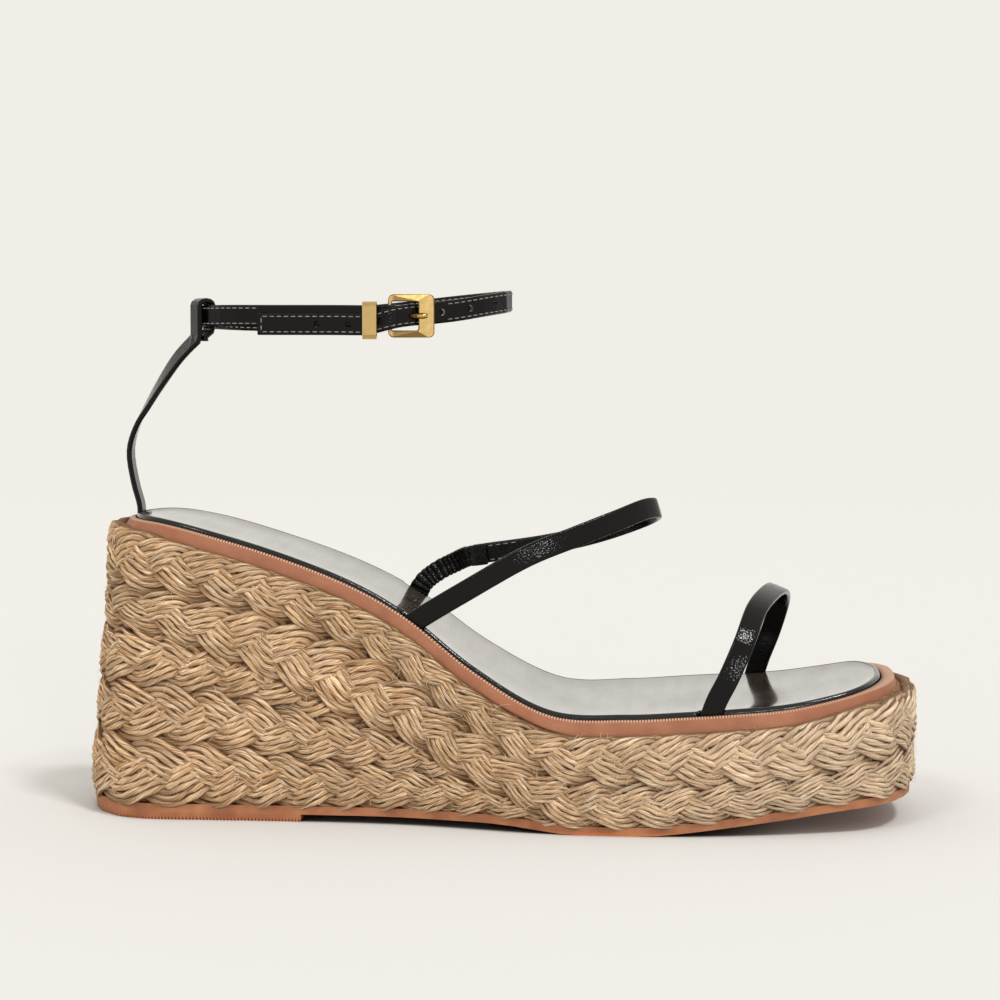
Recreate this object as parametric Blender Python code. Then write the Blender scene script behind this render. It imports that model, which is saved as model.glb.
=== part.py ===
"""Espadrille wedge sandal for the right foot, as an assembly of its made pieces.

Metres, +Z up, +X from heel to toe, +Y towards the inner side of the foot.
The origin is on the ground, at the middle of the heel's flat.
The footbed outline and its height line set the form. The wedge, rand, insole and sole are
that outline moved in or out, and every strap starts at a point on it.
"""

import math

import bmesh
import bpy
import numpy as np
from mathutils import Matrix, Vector

# Footbed, seen from above
FOOTBED_LENGTH = 0.2315
HEEL_OVERHANG = 0.0222  # from the origin back to the footbed's rear edge
HEEL_WIDTH = 0.054
WAIST_WIDTH = 0.058
BALL_WIDTH = 0.083
TOE_WIDTH = 0.061

# Footbed, seen from the side: heights of the wedge's top above the ground
PLATFORM_HEIGHT = 0.0315
HEEL_HEIGHT = 0.0868
TOE_HEIGHT = 0.0410

# Sole
SOLE_THICKNESS = 0.0025
SOLE_MARGIN = 0.0028  # the sole reaches this far outside the footbed outline along the sides
SOLE_MARGIN_END = 0.0048  # and this far at the toe and at the heel
HEEL_LIFT = 0.0022  # extra thickness under the heel
HEEL_BREAST = 0.034  # where the lift ends, from the origin
ARCH_RISE = 0.0003  # of the sole above the lift's step, at the waist
TOE_SPRING = 0.0083

# Wedge wrapped in jute braid
HEEL_FLARE = 0.0062  # the heel's foot stands this far behind its top
BRAID_MARGIN = 0.0042  # the braid's crowns stand this far outside the outline along the sides
BRAID_MARGIN_END = 0.0062  # and this far at the toe and at the heel
BRAID_GROOVE = 0.0016  # depth of the grooves between half braids
STRAND_GROOVE = 0.0011  # depth between neighbouring strands
UPPER_BAND = 0.0078  # height of one half braid in the group that follows the footbed
LOWER_BAND = 0.0074  # height of one half braid in the group that lies level
UPPER_BANDS = 4
LOWER_BANDS = 8

# Rand: the leather strip over the wedge's upper edge
RAND_THICKNESS = 0.0010
RAND_DROP = 0.0036
RAND_LEAN = 0.0008  # its lower edge stands this far outside its upper edge along the sides
RAND_LEAN_HEEL = 0.0026  # and this far at the back of the heel
LEDGE_SIDE = 0.0022  # from the rand's outer face in to the insole
LEDGE_TOE = 0.0042

# Insole
INSOLE_RIM = 0.0024
INSOLE_ROUND = 0.0008
INSOLE_DISH = 0.0006

# Straps
STRAP_WIDTH = 0.0062
STRAP_THICKNESS = 0.0016
TOE_STRAP_OUTER_FOOT = 0.7624 * FOOTBED_LENGTH - HEEL_OVERHANG  # X where its ends leave the footbed
TOE_STRAP_INNER_FOOT = 0.8238 * FOOTBED_LENGTH - HEEL_OVERHANG
TOE_STRAP_REACH = 0.0146  # its crown lies this far ahead of the line between its ends
TOE_STRAP_HEIGHT = 0.0330  # and this far above it
VAMP_STRAP_OUTER_FOOT = 0.3810 * FOOTBED_LENGTH - HEEL_OVERHANG
VAMP_STRAP_INNER_FOOT = 0.3659 * FOOTBED_LENGTH - HEEL_OVERHANG
VAMP_STRAP_REACH = 0.0727
VAMP_STRAP_HEIGHT = 0.0339
GORE_WIDTH = 0.0066
GORE_THICKNESS = 0.0026
GORE_GATHER = 0.0006  # the gore is this much narrower between its ruches
GORE_RUCHES = 13
GORE_LAP = 0.0040  # length of the gore under the vamp strap's tab
HEEL_STRAP_LAP = 0.0018  # length of the fold's flap below the ankle strap
FLAP_END = 0.0010  # the flap's cut end reaches this far past its last bend
FLAP_NIP = 0.0005  # how far the flap comes in below the ankle strap

# Ankle strap and its buckle. Lengths along the strap run forward from the hinge bar.
ANKLE_WIDTH = 0.0064
ANKLE_THICKNESS = 0.0015
ANKLE_LOOP_LENGTH = 0.0940
ANKLE_LOOP_BREADTH = 0.0480
ANKLE_LOOP_BACK = -0.0004  # X of the strap at the back
ANKLE_HEIGHT = 0.1490  # middle of the strap above the ground at the buckle
ANKLE_FRONT_RISE = 0.0042
HINGE_X = 0.0601
FOLD_RADIUS = 0.00165  # middle of the strap where it folds round the hinge bar
FOLD_BACK = 0.0140
FOLD_NECK = 0.0036  # from the hinge bar back to where the fold's two layers lie level
BASE_START = 0.0060  # from the hinge bar back to the first station of the even strap
FRONT_SPACE = 0.0010  # between the strap's front end and the buckle
LAYER_STEP = 0.0018  # from the middle of one layer to the middle of the next
TAIL_LENGTH = 0.0385
TAIL_DROP = 0.0024
TAIL_LIFT = 0.00265  # of the tail over the hinge bar
HOLE_RADIUS = 0.0010
HOLE_PITCH = 0.0091
TONGUE_HOLE = 0.0062
BUCKLE_FRONT = 0.0129
BUCKLE_HEIGHT = 0.0127
WINDOW_FRONT = 0.0082
WINDOW_HEIGHT = 0.0085
BUCKLE_PLATE = 0.0015
BUCKLE_CORNER = 0.0016
RAIL_START = 0.0006  # the rails leave the hinge bar's level here
RAIL_END = 0.0062  # and reach the front bar's level here
RAIL_THICK = 0.0040  # and have the plate's full thickness from here
HINGE_SIZE = 0.0010
TONGUE_RADIUS = 0.0006
TONGUE_TIP = 0.0103
TONGUE_WALL = 0.0005
TONGUE_START = 0.0020  # its room in the strap starts this far ahead of the hinge bar
KEEPER_BACK = 0.0080
KEEPER_FRONT = 0.0039
KEEPER_WALL = 0.0008
KEEPER_ROUND = 0.0005  # inner corner

# Clearance between pieces that touch
GAP = 0.0003

# Half the number of points round the outline, for each kind of piece
BRAID_STEPS = 52
SMOOTH_STEPS = 40
ANKLE_STEPS = 44

# Footbed outline from the back of the heel along the outer side to the toe.
# Columns: share of the length, share of a width to that side, the width it follows.
OUTER_SIDE = (
    (0.000, 0.000, HEEL_WIDTH),
    (0.028, 0.330, HEEL_WIDTH),
    (0.100, 0.480, HEEL_WIDTH),
    (0.210, 0.505, HEEL_WIDTH),
    (0.380, 0.530, WAIST_WIDTH),
    (0.550, 0.485, BALL_WIDTH),
    (0.680, 0.510, BALL_WIDTH),
    (0.800, 0.490, BALL_WIDTH),
    (0.900, 0.600, TOE_WIDTH),
    (0.965, 0.480, TOE_WIDTH),
    (0.993, 0.270, TOE_WIDTH),
    (1.000, 0.000, TOE_WIDTH),
)
# The same, from the toe back along the inner side.
INNER_SIDE = (
    (0.994, 0.250, TOE_WIDTH),
    (0.968, 0.460, TOE_WIDTH),
    (0.900, 0.585, TOE_WIDTH),
    (0.800, 0.475, BALL_WIDTH),
    (0.680, 0.465, BALL_WIDTH),
    (0.550, 0.410, BALL_WIDTH),
    (0.380, 0.475, WAIST_WIDTH),
    (0.210, 0.490, HEEL_WIDTH),
    (0.100, 0.475, HEEL_WIDTH),
    (0.028, 0.330, HEEL_WIDTH),
)
# Height line of the wedge's top.
# Columns: share of the length, share of the heel's rise over the platform, share of the toe's.
TOP_LINE = (
    (0.000, 1.000, 0.00),
    (0.060, 0.985, 0.00),
    (0.167, 0.875, 0.00),
    (0.303, 0.672, 0.00),
    (0.377, 0.503, 0.00),
    (0.463, 0.235, 0.00),
    (0.561, 0.020, 0.00),
    (0.657, 0.000, 0.02),
    (0.730, 0.000, 0.11),
    (0.792, 0.000, 0.20),
    (0.855, 0.000, 0.32),
    (0.919, 0.000, 0.60),
    (0.961, 0.000, 0.84),
    (1.000, 0.000, 1.00),
)
# Underside of the sole sheet, in front of the heel.
# Columns: share of the length, share of the heel lift, share of the arch, share of the toe spring.
UNDER_LINE = (
    (0.000, 1.00, 0.00, 0.00),
    (0.258, 1.00, 0.00, 0.00),
    (0.340, 0.95, 0.80, 0.00),
    (0.420, 0.90, 1.00, 0.00),
    (0.500, 0.85, 0.90, 0.00),
    (0.550, 0.40, 0.30, 0.00),
    (0.590, 0.00, 0.00, 0.00),
    (0.680, 0.00, 0.00, 0.00),
    (0.720, 0.00, 0.00, 0.09),
    (0.778, 0.00, 0.00, 0.29),
    (0.852, 0.00, 0.00, 0.56),
    (0.921, 0.00, 0.00, 0.82),
    (0.977, 0.00, 0.00, 0.96),
    (1.000, 0.00, 0.00, 1.00),
)


# Toe strap. Columns: share of the way across, share of its reach, share of its height.
TOE_ARCH = (
    (-0.004, 0.10, 0.16),
    (-0.006, 0.30, 0.36),
    (0.040, 0.56, 0.66),
    (0.175, 0.70, 0.90),
    (0.390, 0.84, 1.00),
    (0.600, 0.86, 0.98),
    (0.800, 0.72, 0.81),
    (0.930, 0.42, 0.48),
    (0.980, 0.15, 0.20),
)
# Vamp strap, from its outer foot to the end of its tab. The same columns.
VAMP_ARCH = (
    (-0.008, 0.060, 0.085),
    (-0.045, 0.220, 0.300),
    (-0.020, 0.470, 0.600),
    (0.075, 0.670, 0.755),
    (0.210, 0.845, 0.875),
    (0.360, 0.960, 0.940),
    (0.490, 1.010, 0.920),
    (0.670, 0.975, 0.820),
    (0.850, 0.775, 0.625),
    (0.925, 0.570, 0.505),
    (0.965, 0.255, 0.395),
)
# Gore, from the tab to its foot. The same columns.
GORE_ARCH = (
    (0.985, 0.17, 0.32),
    (1.000, 0.10, 0.24),
    (1.000, 0.035, 0.13),
)
# Ankle strap's loop. Columns: share of its length, share of its breadth, share of its front rise.
ANKLE_LOOP = (
    (0.000, 0.00, -0.15),
    (0.030, -0.27, -0.05),
    (0.120, -0.43, 0.00),
    (0.250, -0.49, 0.00),
    (0.450, -0.50, 0.00),
    (0.650, -0.47, 0.00),
    (0.820, -0.37, 0.30),
    (0.940, -0.21, 0.75),
    (1.000, 0.00, 1.00),
    (0.940, 0.22, 0.90),
    (0.800, 0.38, 0.60),
    (0.600, 0.47, 0.10),
    (0.400, 0.50, -0.30),
    (0.200, 0.47, -0.45),
    (0.070, 0.33, -0.35),
)
# Ankle strap's tail where it passes the buckle.
# Columns: share of the buckle's length forward of the hinge bar, share of its lift, of its drop.
TAIL_LINE = (
    (0.992, 0.00, 0.0),
    (0.660, 0.00, 0.0),
    (0.505, 0.19, 0.0),
    (0.310, 0.62, 0.05),
    (0.116, 0.96, 0.15),
    (0.000, 1.00, 0.28),
    (-0.116, 0.98, 0.42),
    (-0.310, 0.82, 0.70),
    (-0.543, 0.72, 1.0),
)
# Tongue. Columns: share of its length, share of the way out from the hinge bar to its rest.
TONGUE_LINE = (
    (0.11, 0.00),
    (0.32, 0.03),
    (0.57, 0.52),
    (0.78, 0.98),
    (1.00, 1.00),
)
# Heel strap. Columns: shares of the way forward, to the outer side, and up.
HEEL_LINE = (
    (0.00, 0.00, 0.07),
    (-0.09, 0.00, 0.20),
    (-0.15, 0.02, 0.38),
    (-0.03, 0.12, 0.52),
    (0.14, 0.25, 0.62),
    (0.40, 0.45, 0.76),
    (0.68, 0.70, 0.89),
)
HEEL_LOOP_X = 0.0030  # where the heel strap is folded over the ankle strap


def spline(points, per_span, closed=False):
    """Points on a smooth curve through these points, as a centripetal Catmull-Rom spline."""
    points = np.asarray(points, float)
    if closed:
        padded = np.vstack([points[-1], points, points[:2]])
    else:
        first = 2 * points[0] - points[1]
        last = 2 * points[-1] - points[-2]
        padded = np.vstack([first, points, last])
    made = []
    for p0, p1, p2, p3 in zip(padded, padded[1:], padded[2:], padded[3:]):
        k0 = 0.0
        k1 = k0 + math.sqrt(np.linalg.norm(p1 - p0))
        k2 = k1 + math.sqrt(np.linalg.norm(p2 - p1))
        k3 = k2 + math.sqrt(np.linalg.norm(p3 - p2))
        k = np.linspace(k1, k2, per_span, endpoint=False)[:, None]
        a1 = (k1 - k) / (k1 - k0) * p0 + (k - k0) / (k1 - k0) * p1
        a2 = (k2 - k) / (k2 - k1) * p1 + (k - k1) / (k2 - k1) * p2
        a3 = (k3 - k) / (k3 - k2) * p2 + (k - k2) / (k3 - k2) * p3
        b1 = (k2 - k) / (k2 - k0) * a1 + (k - k0) / (k2 - k0) * a2
        b2 = (k3 - k) / (k3 - k1) * a2 + (k - k1) / (k3 - k1) * a3
        made.append((k2 - k) / (k2 - k1) * b1 + (k - k1) / (k2 - k1) * b2)
    if not closed:
        made.append(points[-1:])
    return np.vstack(made)


def unit(vectors):
    """These vectors, or this vector, at length one."""
    vectors = np.asarray(vectors, float)
    return vectors / np.linalg.norm(vectors, axis=-1, keepdims=True)


def ease(value, start, end):
    """0 before start, 1 after end, and a smooth step between."""
    share = np.clip((np.asarray(value, float) - start) / (end - start), 0, 1)
    return share * share * (3 - 2 * share)


def along(x):
    """Share of the footbed's length at this X."""
    return (np.asarray(x, float) + HEEL_OVERHANG) / FOOTBED_LENGTH


def at_share(share):
    """X at this share of the footbed's length."""
    return share * FOOTBED_LENGTH - HEEL_OVERHANG


def dense_outline():
    """The footbed outline as a fine closed polyline, with each point's share of the way round.

    The share is 0 at the heel, 0.5 at the toe and 1 at the heel again, by length on each side.
    """
    outer = [(at_share(a), -s * w) for a, s, w in OUTER_SIDE]
    inner = [(at_share(a), s * w) for a, s, w in INNER_SIDE]
    fine = 40
    line = spline(outer + inner, fine, closed=True)
    line = np.vstack([line, line[:1]])
    toe = fine * (len(OUTER_SIDE) - 1)
    length = np.concatenate([[0], np.cumsum(np.linalg.norm(np.diff(line, axis=0), axis=1))])
    share = np.where(
        length <= length[toe],
        0.5 * length / length[toe],
        0.5 + 0.5 * (length - length[toe]) / (length[-1] - length[toe]),
    )
    return line, share


OUTLINE, OUTLINE_SHARE = dense_outline()
TOE_INDEX = int(np.argmin(abs(OUTLINE_SHARE - 0.5)))


def edge(shares):
    """Points of the footbed outline at these shares of the way round, and the directions out."""
    shares = np.asarray(shares, float)
    step = 1e-3
    point = np.stack([np.interp(shares, OUTLINE_SHARE, OUTLINE[:, i]) for i in (0, 1)], -1)
    ahead = (shares + step) % 1
    behind = (shares - step) % 1
    run = np.stack(
        [
            np.interp(ahead, OUTLINE_SHARE, OUTLINE[:, i])
            - np.interp(behind, OUTLINE_SHARE, OUTLINE[:, i])
            for i in (0, 1)
        ],
        -1,
    )
    run = unit(run)
    return point, np.stack([run[..., 1], -run[..., 0]], -1)


def share_at(x, side):
    """Share of the way round where the outline has this X, on side -1 (outer) or +1 (inner)."""
    if side < 0:
        half = slice(0, TOE_INDEX + 1)
        return float(np.interp(x, OUTLINE[half, 0], OUTLINE_SHARE[half]))
    half = slice(TOE_INDEX, None)
    return float(np.interp(x, OUTLINE[half, 0][::-1], OUTLINE_SHARE[half][::-1]))


def even_shares(half_count):
    """Shares of the way round, evenly spaced, from the heel round the toe and back."""
    return np.arange(2 * half_count) / (2 * half_count)


def line_height(x, table, sizes):
    """Height at X of a smooth line whose table gives shares of these sizes."""
    rows = np.array(table)
    points = np.stack([rows[:, 0], rows[:, 1:] @ np.array(sizes)], -1)
    fine = spline(points, 12)
    return np.interp(along(x), fine[:, 0], fine[:, 1])


def top_height(x):
    """Height of the wedge's top at X."""
    rises = (HEEL_HEIGHT - PLATFORM_HEIGHT, TOE_HEIGHT - PLATFORM_HEIGHT)
    return PLATFORM_HEIGHT + line_height(x, TOP_LINE, rises)


def under_height(x):
    """Height of the sole sheet's underside at X. The heel lift is below it."""
    return np.maximum(line_height(x, UNDER_LINE, (HEEL_LIFT, ARCH_RISE, TOE_SPRING)), 0.0)


def ledge(x):
    """Distance from the rand's outer face in to the insole, wider at the toe."""
    return LEDGE_SIDE + (LEDGE_TOE - LEDGE_SIDE) * ease(along(x), 0.93, 1.0)


def lean(x):
    """How far the rand's lower edge stands outside its upper edge."""
    return RAND_LEAN + (RAND_LEAN_HEEL - RAND_LEAN) * (1 - ease(along(x), 0.0, 0.10))


def margin(x, side, end):
    """A distance that is one size along the sides and another at the heel's back and the toe."""
    share = along(x)
    return side + (end - side) * np.maximum(1 - ease(share, 0.0, 0.12), ease(share, 0.88, 1.0))


def flare(x):
    """How far the wedge's foot stands outside its top, at the back of the heel."""
    return HEEL_FLARE * (1 - ease(along(x), 0.0, 0.13))


def material(name, colour, roughness, metallic=0.0):
    """A plain Principled material."""
    made = bpy.data.materials.new(name)
    made.use_nodes = True
    shader = made.node_tree.nodes["Principled BSDF"]
    shader.inputs["Base Color"].default_value = (*colour, 1)
    shader.inputs["Roughness"].default_value = roughness
    shader.inputs["Metallic"].default_value = metallic
    return made


def add_object(name, bm, finish, smooth_below=None):
    """Closes the mesh as one named object with its faces pointing out."""
    bmesh.ops.remove_doubles(bm, verts=bm.verts, dist=1e-7)
    bmesh.ops.triangulate(bm, faces=bm.faces)
    bmesh.ops.recalc_face_normals(bm, faces=bm.faces)
    mesh = bpy.data.meshes.new(name)
    bm.to_mesh(mesh)
    bm.free()
    if smooth_below is not None:
        mesh.shade_smooth()
        mesh.set_sharp_from_angle(angle=math.radians(smooth_below))
    made = bpy.data.objects.new(name, mesh)
    if finish is not None:
        mesh.materials.append(finish)
    bpy.context.scene.collection.objects.link(made)
    return made


def helper(made):
    """Marks an object as a cutter or guide, which is no piece of the sandal."""
    made.hide_render = True
    made.display_type = "WIRE"
    return made


def combine(target, other, operation):
    """Adds a Boolean modifier that cuts or joins the other object."""
    modifier = target.modifiers.new(operation.lower() + "_" + other.name, "BOOLEAN")
    modifier.operation = operation
    modifier.object = helper(other)
    modifier.solver = "EXACT"


def ring_points(shares, offset, height_of, drop=0.0):
    """One ring of points: the outline moved out by offset, at height_of(x) less drop."""
    point, out = edge(shares)
    flat = point + out * np.broadcast_to(offset, shares.shape)[:, None]
    height = height_of(flat[:, 0]) - drop
    return np.column_stack([flat, height])


def add_cap(bm, ring, across, height_of, dish=0.0):
    """Fills a ring with a ladder of faces from the heel to the toe, at height_of(x) less a dish."""
    half = len(ring) // 2
    rows = [[ring[0]]]
    for j in range(1, half):
        start, end = ring[j], ring[-j]
        row = [start]
        for i in range(1, across):
            share = i / across
            flat = start.co.lerp(end.co, share)
            hollow = dish * (1 - (2 * share - 1) ** 2) * min(1.0, j / 4, (half - j) / 4)
            level = float(height_of(flat.x)) - hollow
            row.append(bm.verts.new((flat.x, flat.y, level)))
        row.append(end)
        rows.append(row)
    rows.append([ring[half]])
    for near, far in zip(rows, rows[1:]):
        for i in range(across):
            corners = [near[min(i, len(near) - 1)], near[min(i + 1, len(near) - 1)]]
            corners += [far[min(i + 1, len(far) - 1)], far[min(i, len(far) - 1)]]
            kept = list(dict.fromkeys(corners))
            bm.faces.new(kept)


def stack_solid(name, rings, across, under, over, finish, dish=0.0, smooth_below=40):
    """A closed solid from rings of points, lowest first, with its ends filled."""
    bm = bmesh.new()
    made = [[bm.verts.new(p) for p in ring] for ring in rings]
    for low, high in zip(made, made[1:]):
        for j in range(len(low)):
            k = (j + 1) % len(low)
            bm.faces.new((low[j], low[k], high[k], high[j]))
    add_cap(bm, made[0], across, under)
    add_cap(bm, made[-1], across, over, dish)
    return add_object(name, bm, finish, smooth_below)


def make_outsole(finish):
    """The sole sheet with its toe spring, arch and heel lift, whose front edge is a step.

    Two stations a hair apart at the heel breast make the step.
    """
    marks = (HEEL_BREAST - GAP / 2, HEEL_BREAST + GAP / 2)
    extra = [share_at(x, side) for x in marks for side in (-1, 1)]
    shares = np.sort(np.concatenate([even_shares(SMOOTH_STEPS), extra]))
    toe = int(np.argmin(abs(shares - 0.5)))
    if len(shares) != 2 * toe:
        raise ValueError("the outline needs as many stations on one side as on the other")

    def sheet_over(x):
        return under_height(x) + SOLE_THICKNESS

    plan, _ = edge(shares)
    reach = margin(plan[:, 0], SOLE_MARGIN, SOLE_MARGIN_END) + flare(plan[:, 0])
    ground = ring_points(shares, reach - GAP, under_height)
    ground[plan[:, 0] < HEEL_BREAST, 2] = 0.0
    rings = (
        ground,
        ring_points(shares, reach, under_height),
        ring_points(shares, reach, sheet_over),
    )
    return stack_solid("outsole", rings, 1, under_height, sheet_over, finish)


def braid_levels(top, bottom):
    """Heights of the braid's rows at one station, each with how far its relief stands out.

    The upper group hangs from the top, the lower group stands on the sole. Where the two meet,
    the lower rows run out, and their relief dies away before they do.
    """
    upper_foot = max(top - UPPER_BANDS * UPPER_BAND, bottom)
    rows = []
    for i in range(2 * LOWER_BANDS):
        height = bottom + i * LOWER_BAND / 2
        room = upper_foot - height
        if room > LOWER_BAND / 5:
            rows.append((height, float(ease(room, LOWER_BAND / 5, LOWER_BAND))))
        else:
            rows.append((upper_foot, 0.0))
    span = (top - upper_foot) / (2 * UPPER_BANDS)
    for i in range(2 * UPPER_BANDS + 1):
        rows.append((upper_foot + i * span, 1.0))
    return rows


def make_wedge(finish):
    """The wedge with its jute braid, one solid: half braids are ribs, and strands are raised lobes."""
    shares = even_shares(BRAID_STEPS)
    plan, out = edge(shares)
    count = len(shares)
    shoulder = -(RAND_THICKNESS + GAP)
    foot_drop = RAND_DROP + GAP
    columns = []
    for j in range(count):
        x = plan[j, 0]
        top = float(top_height(x)) - foot_drop
        bottom = float(under_height(x)) + SOLE_THICKNESS + GAP
        column = []
        rows = braid_levels(top, bottom)
        for i, (height, relief) in enumerate(rows):
            crown = i % 2 == 1
            lobe = (j + i // 2) % 2 == 0
            down = (top - height) / (top - bottom)
            reach = float(margin(x, BRAID_MARGIN, BRAID_MARGIN_END) + flare(x) * down)
            reach -= BRAID_GROOVE
            if crown:
                reach += (BRAID_GROOVE if lobe else BRAID_GROOVE - STRAND_GROOVE) * relief
            if i in (0, len(rows) - 1):
                reach -= BRAID_GROOVE / 2
            flat = plan[j] + out[j] * reach
            column.append((flat[0], flat[1], height))
        upper_foot = rows[2 * LOWER_BANDS][0]
        for i in range(2 * LOWER_BANDS):
            if rows[i][0] >= upper_foot:
                column[i] = column[2 * LOWER_BANDS]
        under_rand = plan[j] + out[j] * (shoulder + float(lean(x)))
        column.append((under_rand[0], under_rand[1], top))
        columns.append(column)
    bm = bmesh.new()
    made = [[bm.verts.new(p) for p in column] for column in columns]
    for j in range(count):
        near, far = made[j], made[(j + 1) % count]
        for i in range(len(near) - 1):
            if (i // 2) % 2 == 0:
                bm.faces.new((near[i], far[i], far[i + 1]))
                bm.faces.new((near[i], far[i + 1], near[i + 1]))
            else:
                bm.faces.new((near[i], far[i], near[i + 1]))
                bm.faces.new((far[i], far[i + 1], near[i + 1]))
    top_ring = []
    for p in ring_points(shares, shoulder, top_height):
        top_ring.append(bm.verts.new(p))
    for j in range(count):
        k = (j + 1) % count
        bm.faces.new((made[j][-1], made[k][-1], top_ring[k], top_ring[j]))

    def sole_over(x):
        return under_height(x) + SOLE_THICKNESS + GAP

    add_cap(bm, [column[0] for column in made], 1, sole_over)
    add_cap(bm, top_ring, 4, top_height)
    return add_object("wedge", bm, finish)


def make_rand(finish):
    """The leather strip over the wedge's upper edge: a lip on top and a wall down the side."""
    shares = even_shares(SMOOTH_STEPS)
    plan, _ = edge(shares)
    lip = -ledge(plan[:, 0]) + GAP
    tilt = lean(plan[:, 0])
    corner = RAND_THICKNESS / 2
    section = (
        (lip, -GAP),
        (lip, -GAP - RAND_THICKNESS),
        (-corner, -GAP - RAND_THICKNESS),
        (0.0, -GAP - RAND_THICKNESS + corner),
        (tilt, RAND_DROP),
        (tilt - RAND_THICKNESS, RAND_DROP),
        (-RAND_THICKNESS, -GAP),
    )
    rings = [ring_points(shares, offset, top_height, drop) for offset, drop in section]
    bm = bmesh.new()
    made = [[bm.verts.new(p) for p in ring] for ring in rings]
    count = len(shares)
    for i in range(len(made)):
        low, high = made[i], made[(i + 1) % len(made)]
        for j in range(count):
            k = (j + 1) % count
            bm.faces.new((low[j], low[k], high[k], high[j]))
    return add_object("rand", bm, finish, 40)


class Foot:
    """A place on the footbed's edge where a strap goes down between the insole and the rand."""

    def __init__(self, x, side):
        share = share_at(x, side)
        point, out = edge(np.array([share]))
        inset = float(ledge(x)) + STRAP_THICKNESS / 2 + GAP / 2
        flat = point[0] - out[0] * inset
        step = 0.002
        run = np.array([-out[0, 1], out[0, 0]])
        before = float(top_height(flat[0] - run[0] * step))
        after = float(top_height(flat[0] + run[0] * step))
        tangent = unit([run[0], run[1], (after - before) / (2 * step)])
        self.ahead = tangent if tangent[0] > 0 else -tangent
        self.origin = np.array([flat[0], flat[1], float(top_height(flat[0])) + 1.5 * GAP])
        self.outward = np.array([out[0, 0], out[0, 1], 0.0])
        vertical = np.array([0.0, 0.0, 1.0])
        self.up = unit(vertical - tangent * tangent[2])


def path_frame(centre, hint):
    """The directions along, across and out of the face of a strap at each point of its path."""
    centre = np.asarray(centre, float)
    tangent = unit(np.gradient(centre, axis=0))
    across = np.broadcast_to(np.asarray(hint, float), centre.shape)
    across = unit(across - tangent * np.sum(across * tangent, axis=1, keepdims=True))
    return tangent, across, np.cross(tangent, across)


def ribbon(name, centre, hint, width, thickness, finish, feet=(None, None), rounding=0.6):
    """A flat strap along a path, with eased edges and closed ends.

    The width and thickness may change along the path. A foot cuts that end to the wedge's slope.
    The rounding is a share of half the thickness.
    """
    centre = np.asarray(centre, float)
    tangent, across, face = path_frame(centre, hint)
    half_width = np.broadcast_to(width, len(centre))[:, None] / 2
    half_thick = np.broadcast_to(thickness, len(centre))[:, None] / 2
    ease_in = rounding * half_thick
    signs = (
        (-1, 0, -1, 1), (-1, 1, -1, 0), (1, 1, -1, 0), (1, 0, -1, 1),
        (1, 0, 1, 1), (1, 1, 1, 0), (-1, 1, 1, 0), (-1, 0, 1, 1),
    )
    corners = []
    for side, side_ease, face_side, face_ease in signs:
        a = side * (half_width - side_ease * ease_in)
        f = face_side * (half_thick - face_ease * ease_in)
        corners.append(centre + across * a + face * f)
    rings = np.stack(corners, axis=1)
    for end, foot in zip((0, -1), feet):
        if foot is not None:
            run = tangent[end]
            gap = (foot.origin - rings[end]) @ foot.up / (run @ foot.up)
            rings[end] += gap[:, None] * run
    bm = bmesh.new()
    loops = [[bm.verts.new(p) for p in ring] for ring in rings]
    for low, high in zip(loops, loops[1:]):
        for j in range(len(signs)):
            k = (j + 1) % len(signs)
            bm.faces.new((low[j], low[k], high[k], high[j]))
    bm.faces.new(loops[0])
    bm.faces.new(loops[-1])
    return add_object(name, bm, finish, 50)


def notch_cutter(name, foot, centre, hint):
    """The strap's foot made larger by the gap and open to the outside, to cut the insole's edge."""
    _, across, _ = path_frame(centre, hint)
    run = unit(centre[1] - centre[0])
    below = INSOLE_RIM
    above = 3 * INSOLE_RIM
    path = [centre[0] - run * below, centre[0], centre[0] + run * above]
    path = np.array(path) + foot.outward * (STRAP_THICKNESS + GAP)
    thick = 3 * STRAP_THICKNESS + 4 * GAP
    return ribbon(name, path, across[0], STRAP_WIDTH + 2 * GAP, thick, None, rounding=0.05)


def make_insole(finish, cutters):
    """The padded footbed board with its rounded rim, notched where the straps go down."""
    shares = even_shares(SMOOTH_STEPS)
    plan, _ = edge(shares)
    rim = -ledge(plan[:, 0])
    section = (
        (rim - INSOLE_ROUND / 2, 0.0),
        (rim, INSOLE_ROUND),
        (rim, INSOLE_RIM - INSOLE_ROUND),
        (rim - INSOLE_ROUND * 0.3, INSOLE_RIM - INSOLE_ROUND * 0.3),
        (rim - INSOLE_ROUND, INSOLE_RIM),
    )
    rings = [ring_points(shares, offset, top_height, -GAP - rise) for offset, rise in section]

    def bottom(x):
        return top_height(x) + GAP

    def surface(x):
        return top_height(x) + GAP + INSOLE_RIM

    made = stack_solid("insole", rings, 4, bottom, surface, finish, dish=INSOLE_DISH)
    for cutter in cutters:
        combine(made, cutter, "DIFFERENCE")
    return made


def arch_points(outer, inner, rows, reach, height):
    """Points of a strap's path between two feet.

    Columns of rows: share of the way across, share of the reach forward, share of the height.
    """
    made = []
    for across, ahead, up in rows:
        base = outer.origin + (inner.origin - outer.origin) * across
        made.append(base + np.array([reach * ahead, 0.0, height * up]))
    return made


def lean_hint(degrees):
    """The direction across a strap whose upper edge leans back by this angle."""
    turn = np.radians(np.asarray(degrees, float))
    return np.stack([-np.sin(turn), np.zeros_like(turn), np.cos(turn)], -1)


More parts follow.
